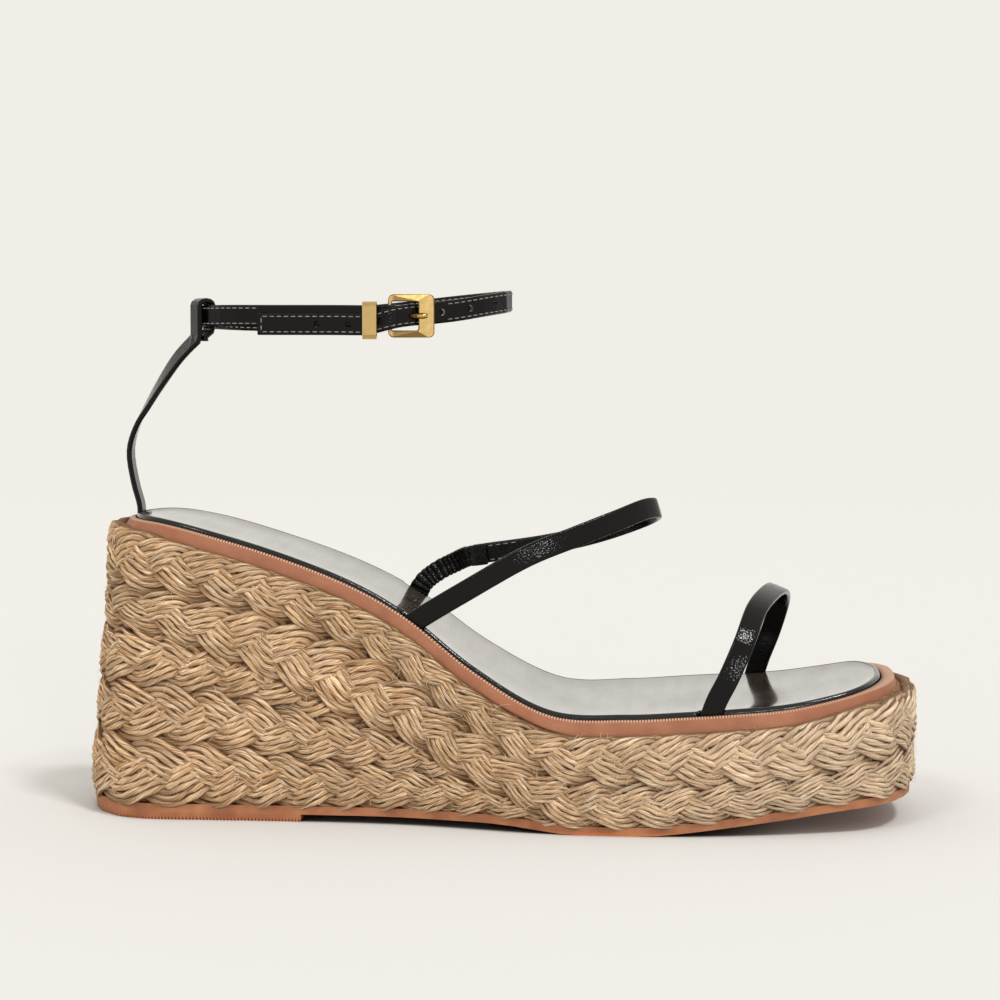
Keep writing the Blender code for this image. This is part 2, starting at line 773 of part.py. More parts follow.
def make_toe_strap(finish):
    """The strap across the toes, and the cutters for its two feet."""
    outer = Foot(TOE_STRAP_OUTER_FOOT, -1)
    inner = Foot(TOE_STRAP_INNER_FOOT, 1)
    rows = arch_points(outer, inner, TOE_ARCH, TOE_STRAP_REACH, TOE_STRAP_HEIGHT)
    path = spline([outer.origin, *rows, inner.origin], 4)
    places = np.linspace(0, 1, len(path))
    turns = (0.0, 0.2, 0.8, 1.0)
    ends = np.array([outer.ahead, lean_hint(-112.0), lean_hint(-112.0), inner.ahead])
    hint = np.stack([np.interp(places, turns, ends[:, i]) for i in range(3)], -1)
    strap = ribbon("toe_strap", path, hint, STRAP_WIDTH, STRAP_THICKNESS, finish, (outer, inner))
    cutters = [
        notch_cutter("notch_toe_outer", outer, path[:3], outer.ahead),
        notch_cutter("notch_toe_inner", inner, path[::-1][:3], inner.ahead),
    ]
    return strap, cutters


def make_vamp_strap(finish, elastic):
    """The strap across the instep with its tab, the gore behind it, and the feet's cutters."""
    outer = Foot(VAMP_STRAP_OUTER_FOOT, -1)
    inner = Foot(VAMP_STRAP_INNER_FOOT, 1)
    rows = arch_points(outer, inner, VAMP_ARCH, VAMP_STRAP_REACH, VAMP_STRAP_HEIGHT)
    path = spline([outer.origin, *rows], 4)
    turn = np.interp(np.linspace(0, 1, len(path)), (0, 0.45, 0.62, 1), (30, 24, 16, 26))
    strap = ribbon(
        "vamp_strap", path, lean_hint(turn), STRAP_WIDTH, STRAP_THICKNESS, finish, (outer, None)
    )
    cutters = [notch_cutter("notch_vamp_outer", outer, path[:3], lean_hint(30.0))]

    tangent, _, face = path_frame(path, lean_hint(turn))
    inward = -face[-1] * np.sign(face[-1, 1])
    under = inward * (STRAP_THICKNESS / 2 + GORE_THICKNESS / 2 + 2 * GAP)
    lapped = [path[-1] + tangent[-1] * GORE_LAP * share + under for share in (-1, -0.5, 0, 0.5)]
    rows = arch_points(outer, inner, GORE_ARCH, VAMP_STRAP_REACH, VAMP_STRAP_HEIGHT)
    guide = spline([*lapped, *rows, inner.origin], 12)
    length = np.concatenate([[0], np.cumsum(np.linalg.norm(np.diff(guide, axis=0), axis=1))])
    stations = np.linspace(0, length[-1], 2 * GORE_RUCHES + 3)
    path = np.stack([np.interp(stations, length, guide[:, i]) for i in range(3)], -1)
    crest = (np.arange(len(path)) % 2).astype(float)
    crest[:2] = 0
    crest[-3:] = 0
    width = GORE_WIDTH - GORE_GATHER * (1 - crest)
    thick = STRAP_THICKNESS + (GORE_THICKNESS - STRAP_THICKNESS) * crest
    width[-3:] = STRAP_WIDTH
    gore = ribbon("vamp_elastic", path, lean_hint(28.0), width, thick, elastic, (None, inner))
    cutters.append(notch_cutter("notch_vamp_inner", inner, path[::-1][:3], lean_hint(28.0)))
    return strap, gore, cutters


class AnkleLoop:
    """The ankle strap's base line, measured along the strap from the hinge bar."""

    def __init__(self):
        rows = []
        for ahead, across, up in ANKLE_LOOP:
            x = ANKLE_LOOP_BACK + ANKLE_LOOP_LENGTH * ahead
            y = ANKLE_LOOP_BREADTH * across
            rows.append((x, y, ANKLE_HEIGHT + ANKLE_FRONT_RISE * up))
        line = spline(rows, 24, closed=True)
        self.line = np.vstack([line, line[:1]])
        steps = np.linalg.norm(np.diff(self.line, axis=0), axis=1)
        self.run = np.concatenate([[0], np.cumsum(steps)])
        self.length = float(self.run[-1])
        near = self.line[:, 1] < 0
        gap = np.where(near, abs(self.line[:, 0] - HINGE_X), 1.0)
        self.hinge = float(self.run[int(np.argmin(gap))])

    def base(self, along_strap):
        """Points of the base line at these lengths forward of the hinge bar."""
        place = (self.hinge + np.asarray(along_strap, float)) % self.length
        return np.stack([np.interp(place, self.run, self.line[:, i]) for i in range(3)], -1)

    def frame(self, along_strap):
        """The directions along the base line and out of the loop, both level."""
        step = 0.0012
        ahead = np.asarray(along_strap, float) + step
        run = self.base(ahead) - self.base(np.asarray(along_strap, float) - step)
        run[..., 2] = 0.0
        run = unit(run)
        return run, np.stack([run[..., 1], -run[..., 0], np.zeros_like(run[..., 0])], -1)

    def place(self, along_strap, outward, rise=0.0):
        """Points off the base line, by a distance out of the loop and a height."""
        _, out = self.frame(along_strap)
        outward = np.broadcast_to(outward, np.shape(along_strap))[..., None]
        rise = np.broadcast_to(rise, np.shape(along_strap))[..., None]
        return self.base(along_strap) + out * outward + np.array([0.0, 0.0, 1.0]) * rise

    def solid_place(self, points):
        """Points given as (forward, outward, up) at the hinge bar, in one straight frame."""
        points = np.asarray(points, float)
        run, out = self.frame(0.0)
        made = self.base(0.0) + points[..., :1] * run + points[..., 1:2] * out
        made[..., 2] += points[..., 2]
        return made


def make_ankle_strap(loop, finish, tongue_cutter):
    """The ankle strap: folded round the hinge bar, round the ankle, and out over its own base."""
    inner = -LAYER_STEP
    centre = inner / 2
    turn = np.radians(np.linspace(-125, 125, 11))
    fold = [(-FOLD_BACK, inner, 0.0), (-FOLD_BACK / 2, inner, 0.0), (-FOLD_NECK, inner, 0.0)]
    for angle in turn:
        fold.append((FOLD_RADIUS * math.cos(angle), centre + FOLD_RADIUS * math.sin(angle), 0.0))
    fold.append((-FOLD_NECK, 0.0, 0.0))
    behind = -np.linspace(BASE_START, loop.length - BUCKLE_FRONT - FRONT_SPACE, ANKLE_STEPS)
    base = [(s, 0.0, 0.0) for s in behind]
    tail = []
    for ahead, out, down in TAIL_LINE:
        tail.append((BUCKLE_FRONT * ahead, TAIL_LIFT * out, -TAIL_DROP * down))
    tail = spline(tail, 3)
    last = tail[-1]
    rest = np.linspace(last[0], -TAIL_LENGTH, 9)[1:]
    tail = [tuple(row) for row in tail]
    tail += [(s, last[1], last[2]) for s in rest]
    rows = np.array(fold + base + tail)
    path = loop.place(rows[:, 0], rows[:, 1], rows[:, 2])
    upright = np.array([0.0, 0.0, 1.0])
    made = ribbon("ankle_strap", path, upright, ANKLE_WIDTH, ANKLE_THICKNESS, finish)
    slot_low = centre - FOLD_RADIUS - ANKLE_THICKNESS
    slot_high = centre + FOLD_RADIUS + ANKLE_THICKNESS / 2 + GAP / 3
    slot_half = TONGUE_RADIUS + 1.5 * GAP
    slot = box_at(
        loop,
        "fold_slot",
        (-FOLD_RADIUS, FOLD_RADIUS + ANKLE_THICKNESS),
        (slot_low, slot_high),
        (-slot_half, slot_half),
    )
    combine(made, slot, "DIFFERENCE")
    combine(made, tongue_cutter, "DIFFERENCE")
    runs = np.array([row[0] for row in tail])
    punches = bmesh.new()
    for k in (-3, -2, -1, 1, 2, 3):
        s = TONGUE_HOLE + k * HOLE_PITCH
        out = 0.0
        down = 0.0
        if k < 0:
            out = float(np.interp(-s, -runs, [row[1] for row in tail]))
            down = float(np.interp(-s, -runs, [row[2] for row in tail]))
        add_punch(punches, loop, s, out, down)
    combine(made, add_object("holes", punches, None), "DIFFERENCE")
    return made


def add_punch(bm, loop, along_strap, outward, rise):
    """Adds a short round cutter through one layer of the strap."""
    _, out = loop.frame(along_strap)
    middle = loop.place(np.array([along_strap]), outward, rise)[0]
    made = bmesh.ops.create_cone(
        bm,
        cap_ends=True,
        segments=12,
        radius1=HOLE_RADIUS,
        radius2=HOLE_RADIUS,
        depth=ANKLE_THICKNESS + GAP,
    )
    turn = Vector((0, 0, 1)).rotation_difference(Vector(out)).to_matrix().to_4x4()
    place = Matrix.Translation(Vector(middle)) @ turn
    bmesh.ops.transform(bm, matrix=place, verts=made["verts"])


def box_at(loop, name, forward, outward, up):
    """A box at the hinge bar between these pairs of distances."""
    corners = [(f, o, u) for u in up for f, o in zip(forward + forward[::-1], np.repeat(outward, 2))]
    places = loop.solid_place(corners)
    bm = bmesh.new()
    made = [bm.verts.new(p) for p in places]
    bm.faces.new(made[0:4])
    bm.faces.new(made[4:8])
    for i in range(4):
        k = (i + 1) % 4
        bm.faces.new((made[i], made[k], made[k + 4], made[i + 4]))
    return add_object(name, bm, None)


def tongue_path():
    """The tongue's middle line as (forward, outward) from the hinge bar."""
    rows = []
    rest = ANKLE_THICKNESS / 2 + GAP + BUCKLE_PLATE + TONGUE_RADIUS - 2 * GAP
    for ahead, out in TONGUE_LINE:
        rows.append((TONGUE_TIP * ahead, -LAYER_STEP / 2 + (rest + LAYER_STEP / 2) * out))
    return spline(rows, 3)


def tongue_tube(loop, name, radius, start, past, finish):
    """A round bar along the tongue's line, from this forward distance to this far past its tip."""
    rows = tongue_path()
    rows = rows[rows[:, 0] >= start]
    rows[-1, 0] += past
    tangent = unit(np.gradient(rows, axis=0))
    sides = 10
    bm = bmesh.new()
    loops = []
    for i, (row, run) in enumerate(zip(rows, tangent)):
        size = radius * (0.7 if i == len(rows) - 1 else 1.0)
        ring = []
        for j in range(sides):
            angle = 2 * math.pi * j / sides
            off = size * math.cos(angle)
            ring.append((row[0] - run[1] * off, row[1] + run[0] * off, size * math.sin(angle)))
        loops.append([bm.verts.new(p) for p in loop.solid_place(ring)])
    for low, high in zip(loops, loops[1:]):
        for j in range(sides):
            k = (j + 1) % sides
            bm.faces.new((low[j], low[k], high[k], high[j]))
    bm.faces.new(loops[0])
    bm.faces.new(loops[-1])
    return add_object(name, bm, finish, 50)


def make_buckle_prong(loop, finish):
    """The tongue: an eye round the hinge bar and a bar out through its hole to the front bar."""
    made = tongue_tube(loop, "buckle_prong", TONGUE_RADIUS, 0.0, 0.0, finish)
    inner = HINGE_SIZE / 2 + GAP + TONGUE_WALL / 4
    outer = inner + TONGUE_WALL
    sides = 20
    bm = bmesh.new()
    rings = []
    for radius, up in ((inner, -1), (outer, -1), (outer, 1), (inner, 1)):
        ring = []
        for j in range(sides):
            angle = 2 * math.pi * j / sides
            ahead = radius * math.cos(angle)
            out = -LAYER_STEP / 2 + radius * math.sin(angle)
            ring.append((ahead, out, up * TONGUE_RADIUS * 0.95))
        rings.append([bm.verts.new(p) for p in loop.solid_place(ring)])
    for i in range(4):
        low, high = rings[i], rings[(i + 1) % 4]
        for j in range(sides):
            k = (j + 1) % sides
            bm.faces.new((low[j], low[k], high[k], high[j]))
    combine(made, add_object("prong_eye", bm, finish, 50), "UNION")
    return made


def rounded_rectangle(low, high, half_height, radius, per_corner):
    """Points round a rectangle from low to high in length, with rounded corners."""
    corners = (
        (low + radius, -half_height + radius, 180),
        (high - radius, -half_height + radius, 270),
        (high - radius, half_height - radius, 0),
        (low + radius, half_height - radius, 90),
    )
    made = []
    for ahead, up, start in corners:
        for angle in np.radians(np.linspace(start, start + 90, per_corner)):
            made.append((ahead + radius * math.cos(angle), up + radius * math.sin(angle)))
    return np.array(made)


def make_buckle_frame(loop, finish, tongue_cutter):
    """The rectangular frame: a wide front bar, two rails, and a thin hinge bar set inwards."""
    half = HINGE_SIZE / 2
    outer = rounded_rectangle(-half, BUCKLE_FRONT, BUCKLE_HEIGHT / 2, BUCKLE_CORNER, 5)
    inner = rounded_rectangle(half, WINDOW_FRONT, WINDOW_HEIGHT / 2, BUCKLE_CORNER / 3, 5)
    front_level = ANKLE_THICKNESS / 2 + GAP + BUCKLE_PLATE / 2

    def level(ahead):
        return -LAYER_STEP / 2 + (front_level + LAYER_STEP / 2) * ease(ahead, RAIL_START, RAIL_END)

    def half_plate(ahead):
        return half + (BUCKLE_PLATE / 2 - half) * ease(ahead, RAIL_START, RAIL_THICK)

    bevel = GAP
    loops = []
    toward = unit(inner - outer)
    bands = (
        (outer, toward * bevel, -1, 0.0),
        (outer, toward * 0.0, -1, bevel),
        (outer, toward * 0.0, 1, bevel),
        (outer, toward * bevel, 1, 0.0),
        (inner, -toward * bevel, 1, 0.0),
        (inner, toward * 0.0, 1, bevel),
        (inner, toward * 0.0, -1, bevel),
        (inner, -toward * bevel, -1, 0.0),
    )
    bm = bmesh.new()
    for flat, shift, side, drop in bands:
        flat = flat + shift
        out = level(flat[:, 0]) + side * (half_plate(flat[:, 0]) - drop)
        points = np.column_stack([flat[:, 0], out, flat[:, 1]])
        loops.append([bm.verts.new(p) for p in loop.solid_place(points)])
    count = len(outer)
    for i in range(len(loops)):
        low, high = loops[i], loops[(i + 1) % len(loops)]
        for j in range(count):
            k = (j + 1) % count
            bm.faces.new((low[j], low[k], high[k], high[j]))
    made = add_object("buckle_frame", bm, finish, 40)
    combine(made, tongue_cutter, "DIFFERENCE")
    return made


def make_keeper(loop, finish):
    """The loop that holds the tail against the base of the strap."""
    middle = -(KEEPER_BACK + KEEPER_FRONT) / 2
    low_out = -LAYER_STEP - ANKLE_THICKNESS / 2 - GAP
    high_out = TAIL_LIFT + ANKLE_THICKNESS / 2 + GAP
    low = -ANKLE_WIDTH / 2 - TAIL_DROP - GAP
    high = ANKLE_WIDTH / 2 + GAP
    half_height = (high - low) / 2
    centre_up = (high + low) / 2
    round_in = KEEPER_ROUND
    inner = rounded_rectangle(low_out, high_out, half_height, round_in, 3)
    wall = KEEPER_WALL
    outer = rounded_rectangle(
        low_out - wall, high_out + wall, half_height + wall, round_in + wall, 3
    )
    bm = bmesh.new()
    loops = []
    edges = ((inner, -KEEPER_BACK), (outer, -KEEPER_BACK), (outer, -KEEPER_FRONT))
    for flat, ahead in (*edges, (inner, -KEEPER_FRONT)):
        run, out = loop.frame(middle)
        origin = loop.base(middle)
        points = origin + run * (ahead - middle) + out * flat[:, :1]
        points[:, 2] += flat[:, 1] + centre_up
        loops.append([bm.verts.new(p) for p in points])
    count = len(inner)
    for i in range(4):
        low_loop, high_loop = loops[i], loops[(i + 1) % 4]
        for j in range(count):
            k = (j + 1) % count
            bm.faces.new((low_loop[j], low_loop[k], high_loop[k], high_loop[j]))
    return add_object("keeper", bm, finish, 40)


def make_heel_strap(loop, finish):
    """The strap up the back of the heel, folded over the ankle strap, and its foot's cutter."""
    foot = Foot(-HEEL_OVERHANG, -1)
    foot.up = np.array([0.0, 0.0, 1.0])
    back = -np.linspace(0.02, 0.10, 400)
    places = loop.base(back)
    pick = back[int(np.argmin(abs(places[:, 0] - HEEL_LOOP_X)))]
    run, out = loop.frame(pick)
    clear = ANKLE_THICKNESS / 2 + 2 * GAP + STRAP_THICKNESS / 2
    top = ANKLE_WIDTH / 2 + 2 * GAP + STRAP_THICKNESS / 2
    flap = clear - STRAP_THICKNESS - GAP
    lap = -top - HEEL_STRAP_LAP
    fold = [(clear, -top - FLAP_END), (clear, -ANKLE_WIDTH / 4), (clear, ANKLE_WIDTH / 4)]
    fold.append((clear, ANKLE_WIDTH / 2))
    for angle in np.radians((30, 60, 90, 120, 150)):
        height = ANKLE_WIDTH / 2 + (top - ANKLE_WIDTH / 2) * math.sin(angle)
        fold.append((clear * math.cos(angle), height))
    fold += [(-clear, ANKLE_WIDTH / 2), (-clear, 0.0), (-clear, GAP - ANKLE_WIDTH / 2)]
    fold += [(FLAP_NIP - clear, -top), (flap, lap + GAP), (flap, lap - FLAP_END)]
    upright = np.array([0.0, 0.0, 1.0])
    fold = [loop.base(pick) + out * o + upright * z for o, z in fold]
    goal = loop.base(pick) + out * clear + upright * lap
    start = foot.origin
    rows = [start]
    for ahead, aside, up in HEEL_LINE:
        rows.append(start + (goal - start) * np.array([ahead, aside, up]))
    rise = spline(rows + [goal], 4)
    path = np.vstack([rise, fold])
    share = ease(np.linspace(0, 1, len(rise)), 0.30, 0.95)[:, None]
    bottom = np.array([0.0, 1.0, 0.0])
    toward = run if run[1] > 0 else -run
    hint = np.vstack([bottom * (1 - share) + toward * share, np.tile(toward, (len(fold), 1))])
    made = ribbon(
        "heel_strap", path, hint, STRAP_WIDTH, STRAP_THICKNESS, finish, (foot, None)
    )
    return made, [notch_cutter("notch_heel", foot, path[:3], bottom)]


def main():
    for old in list(bpy.data.objects):
        bpy.data.objects.remove(old)
    rubber = material("tan_rubber", (0.42, 0.17, 0.08), 0.6)
    jute = material("jute", (0.52, 0.33, 0.16), 0.85)
    tan = material("tan_leather", (0.40, 0.15, 0.07), 0.55)
    black = material("black_leather", (0.012, 0.012, 0.014), 0.25)
    elastic = material("black_elastic", (0.015, 0.015, 0.016), 0.5)
    gold = material("gold", (0.80, 0.55, 0.25), 0.25, 1.0)

    make_outsole(rubber)
    make_wedge(jute)
    make_rand(tan)
    _, toe_cutters = make_toe_strap(black)
    _, _, vamp_cutters = make_vamp_strap(black, elastic)
    loop = AnkleLoop()
    _, heel_cutters = make_heel_strap(loop, black)
    make_insole(black, toe_cutters + vamp_cutters + heel_cutters)

    tongue_room = tongue_tube(loop, "tongue_room", TONGUE_RADIUS + GAP, TONGUE_START, 2 * GAP, None)
    make_ankle_strap(loop, black, tongue_room)
    make_buckle_frame(loop, gold, tongue_room)
    make_buckle_prong(loop, gold)
    make_keeper(loop, gold)


main()
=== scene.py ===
# %% [markdown]
# # An espadrille wedge sandal
# The scene dresses a finished set of solids. This first step loads them.

# %% Load the solids
import math

import bpy
import numpy as np
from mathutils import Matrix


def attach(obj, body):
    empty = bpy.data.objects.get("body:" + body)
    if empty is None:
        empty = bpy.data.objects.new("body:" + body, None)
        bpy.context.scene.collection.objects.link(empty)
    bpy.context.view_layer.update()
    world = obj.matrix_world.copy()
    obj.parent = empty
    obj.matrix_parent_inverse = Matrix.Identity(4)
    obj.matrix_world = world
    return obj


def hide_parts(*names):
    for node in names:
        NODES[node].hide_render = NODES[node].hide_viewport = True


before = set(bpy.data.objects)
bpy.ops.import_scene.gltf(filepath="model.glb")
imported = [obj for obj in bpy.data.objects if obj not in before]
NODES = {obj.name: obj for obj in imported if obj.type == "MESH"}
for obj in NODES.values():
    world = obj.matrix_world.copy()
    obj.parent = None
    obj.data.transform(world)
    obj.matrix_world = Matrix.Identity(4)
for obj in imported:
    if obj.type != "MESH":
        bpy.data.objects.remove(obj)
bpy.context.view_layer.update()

# %% [markdown]
# ## Camera, floor and light
# The shoe stands side on, a little turned, seen from just above its ankle strap. The camera tilts down by
# a few degrees instead of using lens shift, so that it can be moved to other views.

# %% Camera
CAMERA_TURN = math.radians(4.0)
CAMERA_TILT = math.radians(4.39)
CAMERA_DISTANCE = 0.800
CAMERA_HEIGHT = 0.1547
CAMERA_AIM_X = 0.0907
LENS = 95.5
FILM_WIDTH = 36.0


def place_camera():
    """Puts the camera CAMERA_DISTANCE from the aim point, turned and tilted by the two angles."""
    lens = bpy.data.cameras.new("camera")
    lens.sensor_width = FILM_WIDTH
    lens.lens = LENS
    camera = bpy.data.objects.new("camera", lens)
    bpy.context.scene.collection.objects.link(camera)
    camera.location = (
        CAMERA_AIM_X + CAMERA_DISTANCE * math.sin(CAMERA_TURN),
        -CAMERA_DISTANCE * math.cos(CAMERA_TURN),
        CAMERA_HEIGHT,
    )
    camera.rotation_euler = (math.radians(90) - CAMERA_TILT, 0.0, CAMERA_TURN)
    bpy.context.scene.camera = camera
    return camera


camera = place_camera()
print("camera at", tuple(round(v, 4) for v in camera.location))

# %% [markdown]
# Every finish below is a small net of shader nodes. These helpers add one node each, so that a finish reads
# as a recipe: where a point lies, a noise there, a ramp of colours through the noise, and so on.

# %% Node helpers
def new_material(name):
    """An empty node material: (material, its tree, its Principled shader)."""
    made = bpy.data.materials.new(name)
    made.use_nodes = True
    return made, made.node_tree, made.node_tree.nodes["Principled BSDF"]


def dress(tree, node, inputs):
    """Feeds a node's sockets: a number or colour is set on the socket, another node's output is linked."""
    for key, value in inputs.items():
        if isinstance(value, bpy.types.NodeSocket):
            tree.links.new(value, node.inputs[key])
        else:
            node.inputs[key].default_value = value


def put(tree, kind, inputs=(), **settings):
    """Adds a node of this kind, with its settings, and feeds its inputs by name or number."""
    made = tree.nodes.new("ShaderNode" + kind)
    for key, value in settings.items():
        setattr(made, key, value)
    dress(tree, made, dict(inputs))
    return made


def math_of(tree, operation, a, b=0.5):
    """The output of one Math node."""
    return put(tree, "Math", {0: a, 1: b}, operation=operation).outputs[0]


def times(tree, a, b):
    """The product of two numbers or outputs."""
    return math_of(tree, "MULTIPLY", a, b)


def object_point(tree):
    """Where each point lies on the shoe, in metres."""
    return put(tree, "TexCoord").outputs["Object"]


def vector_of(tree, x, y, z):
    """One vector from three numbers or outputs."""
    return put(tree, "CombineXYZ", {0: x, 1: y, 2: z}).outputs[0]


def parts_of(tree, vector):
    """The three parts of a vector."""
    return put(tree, "SeparateXYZ", {0: vector}).outputs


def noise(tree, vector, scale, detail=2.0, roughness=0.5):
    """Cloudy noise from 0 to 1, with about this many lumps to each unit of the vector."""
    inputs = {"Vector": vector, "Scale": scale, "Detail": detail, "Roughness": roughness}
    return put(tree, "TexNoise", inputs).outputs["Fac"]


def bumps(tree, height, strength, distance):
    """A normal that tilts with the slope of this height."""
    return put(tree, "Bump", {"Strength": strength, "Distance": distance, "Height": height}).outputs[0]


def mix_colours(tree, share, low, high, how="MIX"):
    """A colour Mix node's output: low at share 0 and high at share 1."""
    made = put(tree, "Mix", data_type="RGBA", blend_type=how)
    dress(tree, made, {0: share, 6: low, 7: high})
    return made.outputs[2]


def ramp(tree, value, *stops):
    """The output of a Color Ramp through these (position, brightness or colour) stops."""
    made = put(tree, "ValToRGB", {0: value})
    made.color_ramp.elements[0].position = stops[0][0]
    made.color_ramp.elements[1].position = stops[-1][0]
    for position, _ in stops[1:-1]:
        made.color_ramp.elements.new(position)
    for element, (_, level) in zip(made.color_ramp.elements, stops):
        element.color = (*level[:3], 1) if isinstance(level, tuple) else (level, level, level, 1)
    return made.outputs[0]


def tone(red, green, blue):
    """A linear colour with alpha from a display colour given in 0 to 255."""
    made = []
    for level in (red, green, blue):
        share = level / 255
        made.append(share / 12.92 if share <= 0.04045 else ((share + 0.055) / 1.055) ** 2.4)
    return (*made, 1.0)


BACKDROP = tone(241, 238, 231)
print("backdrop as a linear colour:", np.round(BACKDROP, 3))

# %% [markdown]
# The floor is a plain pale disc that turns transparent far out, so it melts into a world of the same tone.
# Its paint holds a painted shade: it darkens only where something stands within a few millimetres of it,
# as the narrow gap under the arch does. The lamps are as small as studio lamps look from the shoe, because a
# small lamp gives a crushed leather its sharp sparks.

# %% Floor, world and lights
FLOOR_PAINT = tone(209, 208, 206)
# Painted shade: the floor's colour where something stands in a narrow gap above it.
FLOOR_PAINTED_SHADE = tone(40, 34, 30)
FLOOR_GAP = 0.006
FLOOR_REACH = 3.0
FADE_START = 0.45
FADE_END = 1.6
# Name, direction from the shoe, width in degrees, strength.
LAMPS = (
    ("key_light", (-0.50, -0.85, 1.00), 14, 0.50),
    ("top_light", (0.36, -0.36, 0.86), 9, 1.40),
    ("front_light", (0.34, -0.94, 0.22), 6, 0.42),
)


def floor_paint():
    """Matte paint with a painted shade, darker in a narrow gap, that fades to nothing far out."""
    made, tree, shader = new_material("floor_paint")
    open_share = put(tree, "AmbientOcclusion", {"Distance": FLOOR_GAP}, samples=6).outputs["AO"]
    # Painted shade: the paint turns dark where ambient occlusion finds something near.
    paint = ramp(tree, open_share, (0.10, FLOOR_PAINTED_SHADE), (0.55, FLOOR_PAINT))
    dress(tree, shader, {"Base Color": paint, "Roughness": 0.9, "Specular IOR Level": 0.1})
    far = put(tree, "VectorMath", {0: object_point(tree)}, operation="LENGTH").outputs["Value"]
    limits = {"Value": far, "From Min": FADE_START, "From Max": FADE_END}
    fade = put(tree, "MapRange", limits, interpolation_type="SMOOTHSTEP").outputs["Result"]
    clear = put(tree, "BsdfTransparent").outputs[0]
    both = put(tree, "MixShader", {0: fade, 1: shader.outputs[0], 2: clear})
    dress(tree, tree.nodes["Material Output"], {"Surface": both.outputs[0]})
    return made


def make_floor():
    """A flat disc: FLOOR_REACH * (cos turn, sin turn, 0)."""
    turns = np.linspace(0, 2 * np.pi, 96, endpoint=False)
    rim = np.stack([np.cos(turns), np.sin(turns), 0 * turns], -1) * FLOOR_REACH
    mesh = bpy.data.meshes.new("floor")
    mesh.from_pydata(rim.tolist(), [], [list(range(len(rim)))])
    floor = bpy.data.objects.new("floor", mesh)
    bpy.context.scene.collection.objects.link(floor)
    mesh.materials.append(floor_paint())


def make_world():
    """An even pale world that lights the shoe from all round."""
    world = bpy.data.worlds.new("studio")
    world.use_nodes = True
    dress(world.node_tree, world.node_tree.nodes["Background"], {"Color": BACKDROP, "Strength": 1.0})
    bpy.context.scene.world = world


def make_lamp(name, away, spread, strength):
    """A light from far away in this direction, as wide as spread in degrees."""
    light = bpy.data.lights.new(name, "SUN")
    light.angle = math.radians(spread)
    light.energy = strength
    lamp = bpy.data.objects.new(name, light)
    bpy.context.scene.collection.objects.link(lamp)
    lamp.location = away
    flat = math.hypot(away[0], away[1])
    lamp.rotation_euler = (math.atan2(flat, away[2]), 0.0, math.atan2(away[0], -away[1]))


bpy.context.scene.view_settings.view_transform = "Standard"
make_floor()
make_world()
for lamp in LAMPS:
    make_lamp(*lamp)
print("floor reach:", FLOOR_REACH, "lamps:", len(LAMPS))

# %% [markdown]
# ## The shoe's own lines
# Every piece of the sole follows one outline of the footbed and one height line. The outline is a smooth
# closed curve through a few widths at shares of the length. The height line falls from the heel to the
# platform and rises again at the toe. These are the same sizes as in the solids.

# %% Sizes of the shoe
FOOTBED_LENGTH = 0.2315
HEEL_OVERHANG = 0.0222
HEEL_WIDTH = 0.054
WAIST_WIDTH = 0.058
BALL_WIDTH = 0.083
TOE_WIDTH = 0.061
PLATFORM_HEIGHT = 0.0315
HEEL_HEIGHT = 0.0868
TOE_HEIGHT = 0.0410
SOLE_THICKNESS = 0.0025
HEEL_LIFT = 0.0022
ARCH_RISE = 0.0003
TOE_SPRING = 0.0083
HEEL_FLARE = 0.0062
BRAID_MARGIN = 0.0042
BRAID_MARGIN_END = 0.0062
RAND_THICKNESS = 0.0010
RAND_DROP = 0.0036
RAND_LEAN = 0.0008
RAND_LEAN_HEEL = 0.0026
LEDGE_SIDE = 0.0022
LEDGE_TOE = 0.0042
INSOLE_RIM = 0.0024
INSOLE_DISH = 0.0006
GAP = 0.0003

# Footbed outline: share of the length, share of a width to that side, the width it follows.
OUTER_SIDE = (
    (0.000, 0.000, HEEL_WIDTH),
    (0.028, 0.330, HEEL_WIDTH),
    (0.100, 0.480, HEEL_WIDTH),
    (0.210, 0.505, HEEL_WIDTH),
    (0.380, 0.530, WAIST_WIDTH),
    (0.550, 0.485, BALL_WIDTH),
    (0.680, 0.510, BALL_WIDTH),
    (0.800, 0.490, BALL_WIDTH),
    (0.900, 0.600, TOE_WIDTH),
    (0.965, 0.480, TOE_WIDTH),
    (0.993, 0.270, TOE_WIDTH),
    (1.000, 0.000, TOE_WIDTH),
)
INNER_SIDE = (
    (0.994, 0.250, TOE_WIDTH),
    (0.968, 0.460, TOE_WIDTH),
    (0.900, 0.585, TOE_WIDTH),
    (0.800, 0.475, BALL_WIDTH),
    (0.680, 0.465, BALL_WIDTH),
    (0.550, 0.410, BALL_WIDTH),
    (0.380, 0.475, WAIST_WIDTH),
    (0.210, 0.490, HEEL_WIDTH),
    (0.100, 0.475, HEEL_WIDTH),
    (0.028, 0.330, HEEL_WIDTH),
)
# Height of the wedge's top: share of the length, share of the heel's rise, share of the toe's.
TOP_LINE = (
    (0.000, 1.000, 0.00),
    (0.060, 0.985, 0.00),
    (0.167, 0.875, 0.00),
    (0.303, 0.672, 0.00),
    (0.377, 0.503, 0.00),
    (0.463, 0.235, 0.00),
    (0.561, 0.020, 0.00),
    (0.657, 0.000, 0.02),
    (0.730, 0.000, 0.11),
    (0.792, 0.000, 0.20),
    (0.855, 0.000, 0.32),
    (0.919, 0.000, 0.60),
    (0.961, 0.000, 0.84),
    (1.000, 0.000, 1.00),
)
